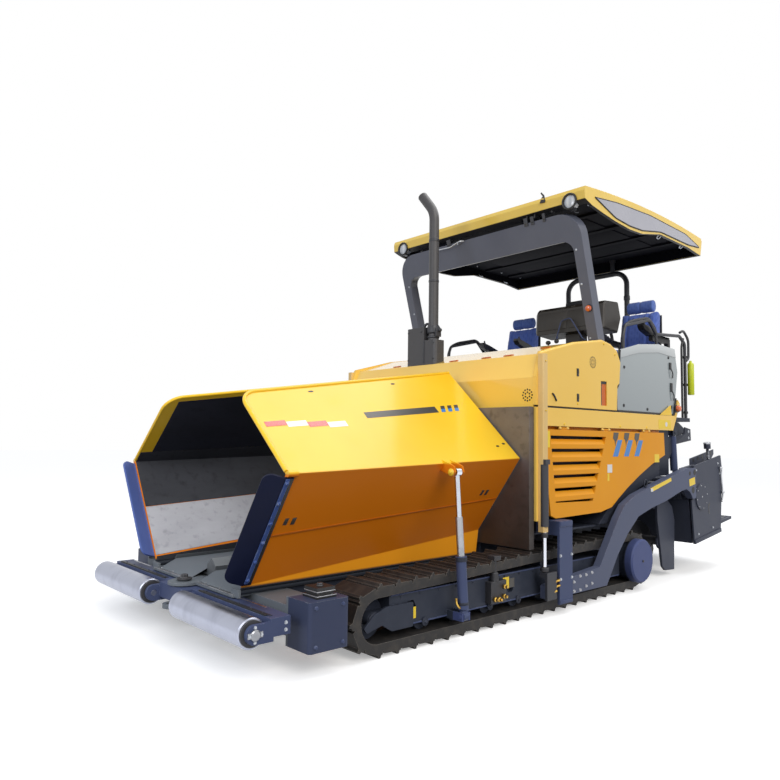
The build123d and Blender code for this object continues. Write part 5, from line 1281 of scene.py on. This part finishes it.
# pressed cover strip of the cylinder, up the corner of the body
tray(((2.528, 1.2005), (2.528, 1.246), (2.536, 1.2545), (2.584, 1.2545), (2.592, 1.246), (2.592, 1.2005)),
     0.655, 1.425, 0.003)
fit_pair("level_cover", enamel_tan)
bolts([(LEVEL_AT[0], z) for z in (0.72, 1.16, 1.62, 2.02)], COVER_FACE, 0.006)
fit_pair("level_cover_bolts", enamel_sun)
turned(((0.0172, 0), (0.026, 0.003), (0.028, 0.012), (0.028, 0.034), (0.0172, 0.040)), at(*LEVEL_AT, 0.612),
       UP, 28)
turned(band(0.030, 0.034, 0.004, 0.034), at(*LEVEL_AT, 0.350), UP, 28)
fit_pair("level_gland", iron)
# brass couplings beside the tow point
for station, z, length in ((2.640, 0.262, 0.055), (2.652, 0.222, 0.050), (2.625, 0.185, 0.040)):
    turned(((0.010, 0), (0.017, 0.004), (0.017, 0.020), (0.012, 0.024), (0.012, length), (0, length)),
           at(station, 1.262, z), (-0.3, 0.2, 0.1), 6)
fit_pair("tow_fittings", brass)
# bolts and edge strips of the post that guides the tow arm
bolts(rectangle(2.700, 2.855, 0.279, 0.463), POST_Y, 0.010)
fit_pair("post_bolts", zinc)
plate(rectangle(2.695, 2.865, 0.690, 0.728), POST_Y, 0.006, 0.002)
plate(rectangle(2.695, 2.865, 0.086, 0.110), POST_Y, 0.005, 0.002)
fit_pair("post_strips", chassis_grey)

# valve block on the track frame's side, under the wall, with its valve and screws
BLOCK_TOP, BLOCK_DEEP = 0.335, 0.060
plate(rectangle(1.955, 2.130, 0.175, BLOCK_TOP), FRAME_Y, BLOCK_DEEP, 0.006)
turned(((0.030, 0), (0.034, 0.006), (0.030, 0.060), (0.016, 0.070), (0.016, 0.150), (0, 0.152)),
       at(2.020, 1.172, BLOCK_TOP), UP, 20)
plate(rectangle(1.985, 2.060, 0.487, 0.520), 1.135, 0.070, 0.004)
fit_pair("valve_block", iron)
rounds(((0.012, 0), (0.018, 0.004), (0.018, 0.018), (0.011, 0.022), (0.011, 0.040), (0, 0.040)),
       ((1.985, 0.210), (2.030, 0.205), (2.095, 0.290), (2.090, 0.220)), FRAME_Y + BLOCK_DEEP - 0.0002, 6)
fit_pair("valve_screws", brass)

# openings, studs and lifting ring of the tow arm; the openings are black discs of painted shade
for station, z, radius in ((5.185, 1.068, 0.030), (5.076, 1.060, 0.022), (5.145, 0.885, 0.034)):
    turned(disc(radius, 0.001), at(station, ARM_Y + 0.0003, z), OUT, 20)
fit_pair("arm_holes", black_rubber, "screed")
bolts(((2.930, 0.150), (2.930, 0.225), (3.020, 0.262), (3.110, 0.262), (3.110, 0.170), (3.020, 0.150),
       (3.200, 0.270), (3.200, 0.180)), ARM_Y, 0.011)
fit_pair("arm_bolts", steel_bare, "screed")
ring = [(station, 1.228, z) for station, z in around(16, 0.030, (4.206, 0.985), tall=0.034)]
pipe(ring + ring[:1], 0.007)
fit_pair("arm_ring", chassis_dark, "screed")

# middle bolt of the drive cover
turned(stud(0.012, 0.005, 0.007, 0.008), at(4.050, 1.2752, 0.274), OUT, 14)
fit_pair("drive_bolt", abs_black)

# idler hub, roller hub caps, and the row of bolts and edge strips over them
IDLER_AT, IDLER_Y = (0.870, 0.232), 1.1302
rounds(hub(0.040, 0.046, 0.008, 0.016, 0.030, 0.022), (IDLER_AT,), IDLER_Y, 28)
bolts(around(6, 0.032, IDLER_AT), IDLER_Y + 0.016, 0.006)
caps = [(1.320 + 0.340 * k, 0.1483) for k in range(7)]
rounds(hub(0.026, 0.029, 0.004, 0.012, 0.020, 0.016), caps, FRAME_Y)
bolts(caps, FRAME_Y + 0.016, 0.008)
bolts([(1.1 + 0.18 * k, 0.345) for k in range(15)], FRAME_Y, 0.008)
fit_pair("frame_caps", chassis_dark)
plate(rectangle(1.010, 3.850, 0.356, 0.366), FRAME_Y, 0.006, 0.002)
plate(rectangle(1.210, 3.850, 0.150, 0.160), FRAME_Y, 0.005, 0.002)
fit_pair("frame_edges", chassis_grey)

# smooth guard plate over each idler's front
board(rectangle(0.905, 1.165, 0.175, 0.385), 0.5905, -0.006, 0.002)
fit_pair("idler_guard", iron)


# ---- screed
TOW_AT = (2.620, 0.190)
RAISED = math.radians(6.9)


def lifted(back_of, height):
    """(station, height) of a screed point given in its working pose, raised to the transport pose."""
    rise = height - TOW_AT[1]
    return (TOW_AT[0] + back_of * math.cos(RAISED) - rise * math.sin(RAISED),
            TOW_AT[1] + back_of * math.sin(RAISED) + rise * math.cos(RAISED))


def all_lifted(*points):
    """Several screed points raised to the transport pose."""
    return [lifted(*point) for point in points]


# end plate: its round cover's screws, bolts, skid shoe and openings
END_Y = 1.2332  # just outside its face
COVER_AT, COVER_Y = lifted(2.830, 0.465), END_Y + 0.012
bolts(around(8, 0.122, COVER_AT, 0.2), COVER_Y, 0.006)
rounds(((0.010, 0), (0.010, 0.003), (0, 0.004)), (COVER_AT,), COVER_Y, 12)
fit_pair("end_cover_bolts", steel_bare, "extension_{}")
bolts(all_lifted((3.300, 0.760), (2.750, 0.760), (3.060, 0.090), (2.700, 0.090), (3.330, 0.640),
                 (2.740, 0.560)), END_Y, 0.010)
fit_pair("end_plate_bolts", zinc, "extension_{}")
plate(all_lifted(*rectangle(2.605, 3.259, 0.003, 0.045)), END_Y, 0.010, 0.003)
fit_pair("end_skid", chassis_screed, "extension_{}")
# painted shade: black outline and discs for the openings
plate(all_lifted((2.985, 0.250), (3.010, 0.250), (3.005, 0.330), (3.040, 0.350), (3.030, 0.375),
                 (2.980, 0.350)), END_Y, 0.001)
rounds(disc(0.026, 0.001), all_lifted((2.560, 0.640), (2.700, 0.690)), END_Y + 0.0002)
fit_pair("end_openings", painted_shade_black, "extension_{}")

# adjusting jack: spindle threads, hand wheel and its pointer rod
JACK_Y, POINTER_Y, JACK_BACK = 1.175, 1.248, 3.200
jack_way = (math.sin(RAISED), 0, math.cos(RAISED))
for k in range(9):
    station, z = lifted(JACK_BACK, 0.775 + 0.017 * k)
    turned(((0.0155, -0.005), (0.020, 0), (0.0155, 0.005)), at(station, JACK_Y, z), jack_way, 18)
station, z = lifted(JACK_BACK, 0.9855)
turned(hub(0.036, 0.040, 0.004, 0.016, 0.030, 0.022), at(station, JACK_Y, z), jack_way, 18)
fit_pair("jack_spindle", steel_bare, "extension_{}")
pipe([(station, POINTER_Y, z) for station, z in all_lifted((3.330, 0.720), (3.345, 0.400), (3.300, 0.330))],
     0.008, 0.05)
for station, z in all_lifted((3.335, 0.700), (3.345, 0.430)):
    turned(((0.016, -0.014), (0.018, -0.010), (0.018, 0.010), (0.016, 0.014), (0.007, 0.014)),
           at(station, POINTER_Y, z), UP, 16)
    pipe([(station, POINTER_Y, z), (station, POINTER_Y - 0.015, z)], 0.009)
fit_pair("jack_pointer", steel_bare, "extension_{}")

# raised bars across the tread plate of the step
for k in range(10):
    (s0, z0), (s1, z1) = all_lifted((3.270 + 0.034 * k, 0.1102), (3.280 + 0.034 * k, 0.1102))
    slab([at(s0, 0.05, z0), at(s1, 0.05, z1), at(s1, 1.18, z1), at(s0, 1.18, z0)], (0, 0, 0.004), 0.001)
fit_pair("step_bars", steel_bare, "extension_{}")

# heating box on the extension's top
plate(all_lifted((3.000, 0.4202), (3.150, 0.4202), (3.150, 0.560), (3.020, 0.560)), 0.30, 0.62, 0.010)
fit_pair("heater_box", chassis_dark, "extension_{}")

# rail with a row of round openings that stands over the extension
RAIL_FACE, RAIL_THICK = 1.100, 0.010
plate(((5.420, 1.100), (5.420, 1.205), (6.020, 1.305), (6.020, 1.250), (5.960, 1.200)), RAIL_FACE,
      RAIL_THICK, 0.002)
fit_pair("gate_rail", chassis_screed, "extension_{}")
# painted shade: black discs for the round openings
rounds(disc(0.023, 0.001), [(5.500 + 0.110 * k, 1.188 + 0.0183 * k) for k in range(5)],
       RAIL_FACE + RAIL_THICK + 0.0002, 18)
fit_pair("gate_rail_holes", painted_shade_black, "extension_{}")

# lids of the rear walkway over the main screed
for y in (-0.90, -0.50, 0.10, 0.50):
    plate(all_lifted((2.690, 0.6002), (2.780, 0.6002), (2.780, 0.612), (2.690, 0.612)), y, 0.36, 0.003)
fit("screed_lids", chassis_dark, "screed")


# ---- camera, light and floor
CAMERA_AT = (5.1015, 4.497, 1.379)
YAW, PITCH, ROLL = (math.radians(angle) for angle in (228.0203, 4.0566, 0.7486))


def placed(name, data):
    """A camera, lamp or mesh as an object of the scene."""
    made = bpy.data.objects.new(name, data)
    bpy.context.scene.collection.objects.link(made)
    return made


view = Vector((math.cos(YAW) * math.cos(PITCH), math.sin(YAW) * math.cos(PITCH), math.sin(PITCH)))
level_right = Vector((math.sin(YAW), -math.cos(YAW), 0))
level_up = level_right.cross(view)
right = level_right * math.cos(ROLL) + level_up * math.sin(ROLL)
upright = level_up * math.cos(ROLL) - level_right * math.sin(ROLL)
camera = placed("camera", bpy.data.cameras.new("camera"))
camera.data.lens, camera.data.sensor_width = 31.66, 36
camera.matrix_world = Matrix.Translation(CAMERA_AT) @ Matrix((right, upright, -view)).transposed().to_4x4()
bpy.context.scene.camera = camera


def seen_rays(mix):
    """1 for what the camera sees directly, in a mirror or through glass, and 0 for light that falls."""
    path = mix.node("LightPath").node.outputs
    seen = mix.math("MAXIMUM", path["Is Camera Ray"], path["Is Glossy Ray"])
    return mix.math("MAXIMUM", seen, path["Is Transmission Ray"])


def studio_floor():
    """Pale matt studio floor: it gives back less light than it shows, so undersides stay dark."""
    mix = start("studio_floor")
    lit = mix.node("BsdfDiffuse", {"Color": linear("#6A6B6F")})
    pale = mix.node("BsdfDiffuse", {"Color": linear("#F4F4F4")})
    shown = mix.node("AddShader", {0: pale, 1: mix.node("Emission", {"Strength": 0.34})})
    mix.node("OutputMaterial", {"Surface": mix.node("MixShader", {0: seen_rays(mix), 1: lit, 2: shown})})
    return mix.owner


world = bpy.data.worlds.new("studio")
sky = Recipe(world)
ambient = sky.node("Background", {"Color": linear("#E6ECF6"), "Strength": 0.5})
backdrop = sky.node("Background", {"Color": linear("#FFFFFF"), "Strength": 1.0})
sky.node("OutputWorld", {"Surface": sky.node("MixShader", {0: seen_rays(sky), 1: ambient, 2: backdrop})})
bpy.context.scene.world = world

floor_mesh = bpy.data.meshes.new("floor")
REACH = 60
floor_mesh.from_pydata([(-REACH, -REACH, 0), (REACH, -REACH, 0), (REACH, REACH, 0), (-REACH, REACH, 0)], [],
                       [(0, 1, 2, 3)])
floor_mesh.materials.append(studio_floor())
placed("floor", floor_mesh)

for name, kind, place, aim, power, size, colour in (
        ("key", "SUN", (2.0, 7.0, 6.0), (0, 0, 1.2), 1.8, 0.7, "#FFFAF2"),
        ("softbox", "AREA", (-3.0, 1.5, 9.0), (0.5, 0.6, 1.2), 400, 7.0, "#FFFFFF"),
        ("front", "AREA", (8.0, 1.0, 3.5), (2.0, 0, 0.8), 150, 3.0, "#F4F8FF")):
    lamp = bpy.data.lights.new(name, kind)
    lamp.energy = power  # watts, or strength for the sun
    lamp.color = linear(colour)[:3]
    setattr(lamp, "angle" if kind == "SUN" else "size", size)
    holder = placed(name, lamp)
    holder.location = place
    holder.rotation_euler = (Vector(aim) - Vector(place)).to_track_quat("-Z", "Y").to_euler()

bpy.context.scene.view_settings.view_transform = "Standard"
bpy.context.view_layer.update()
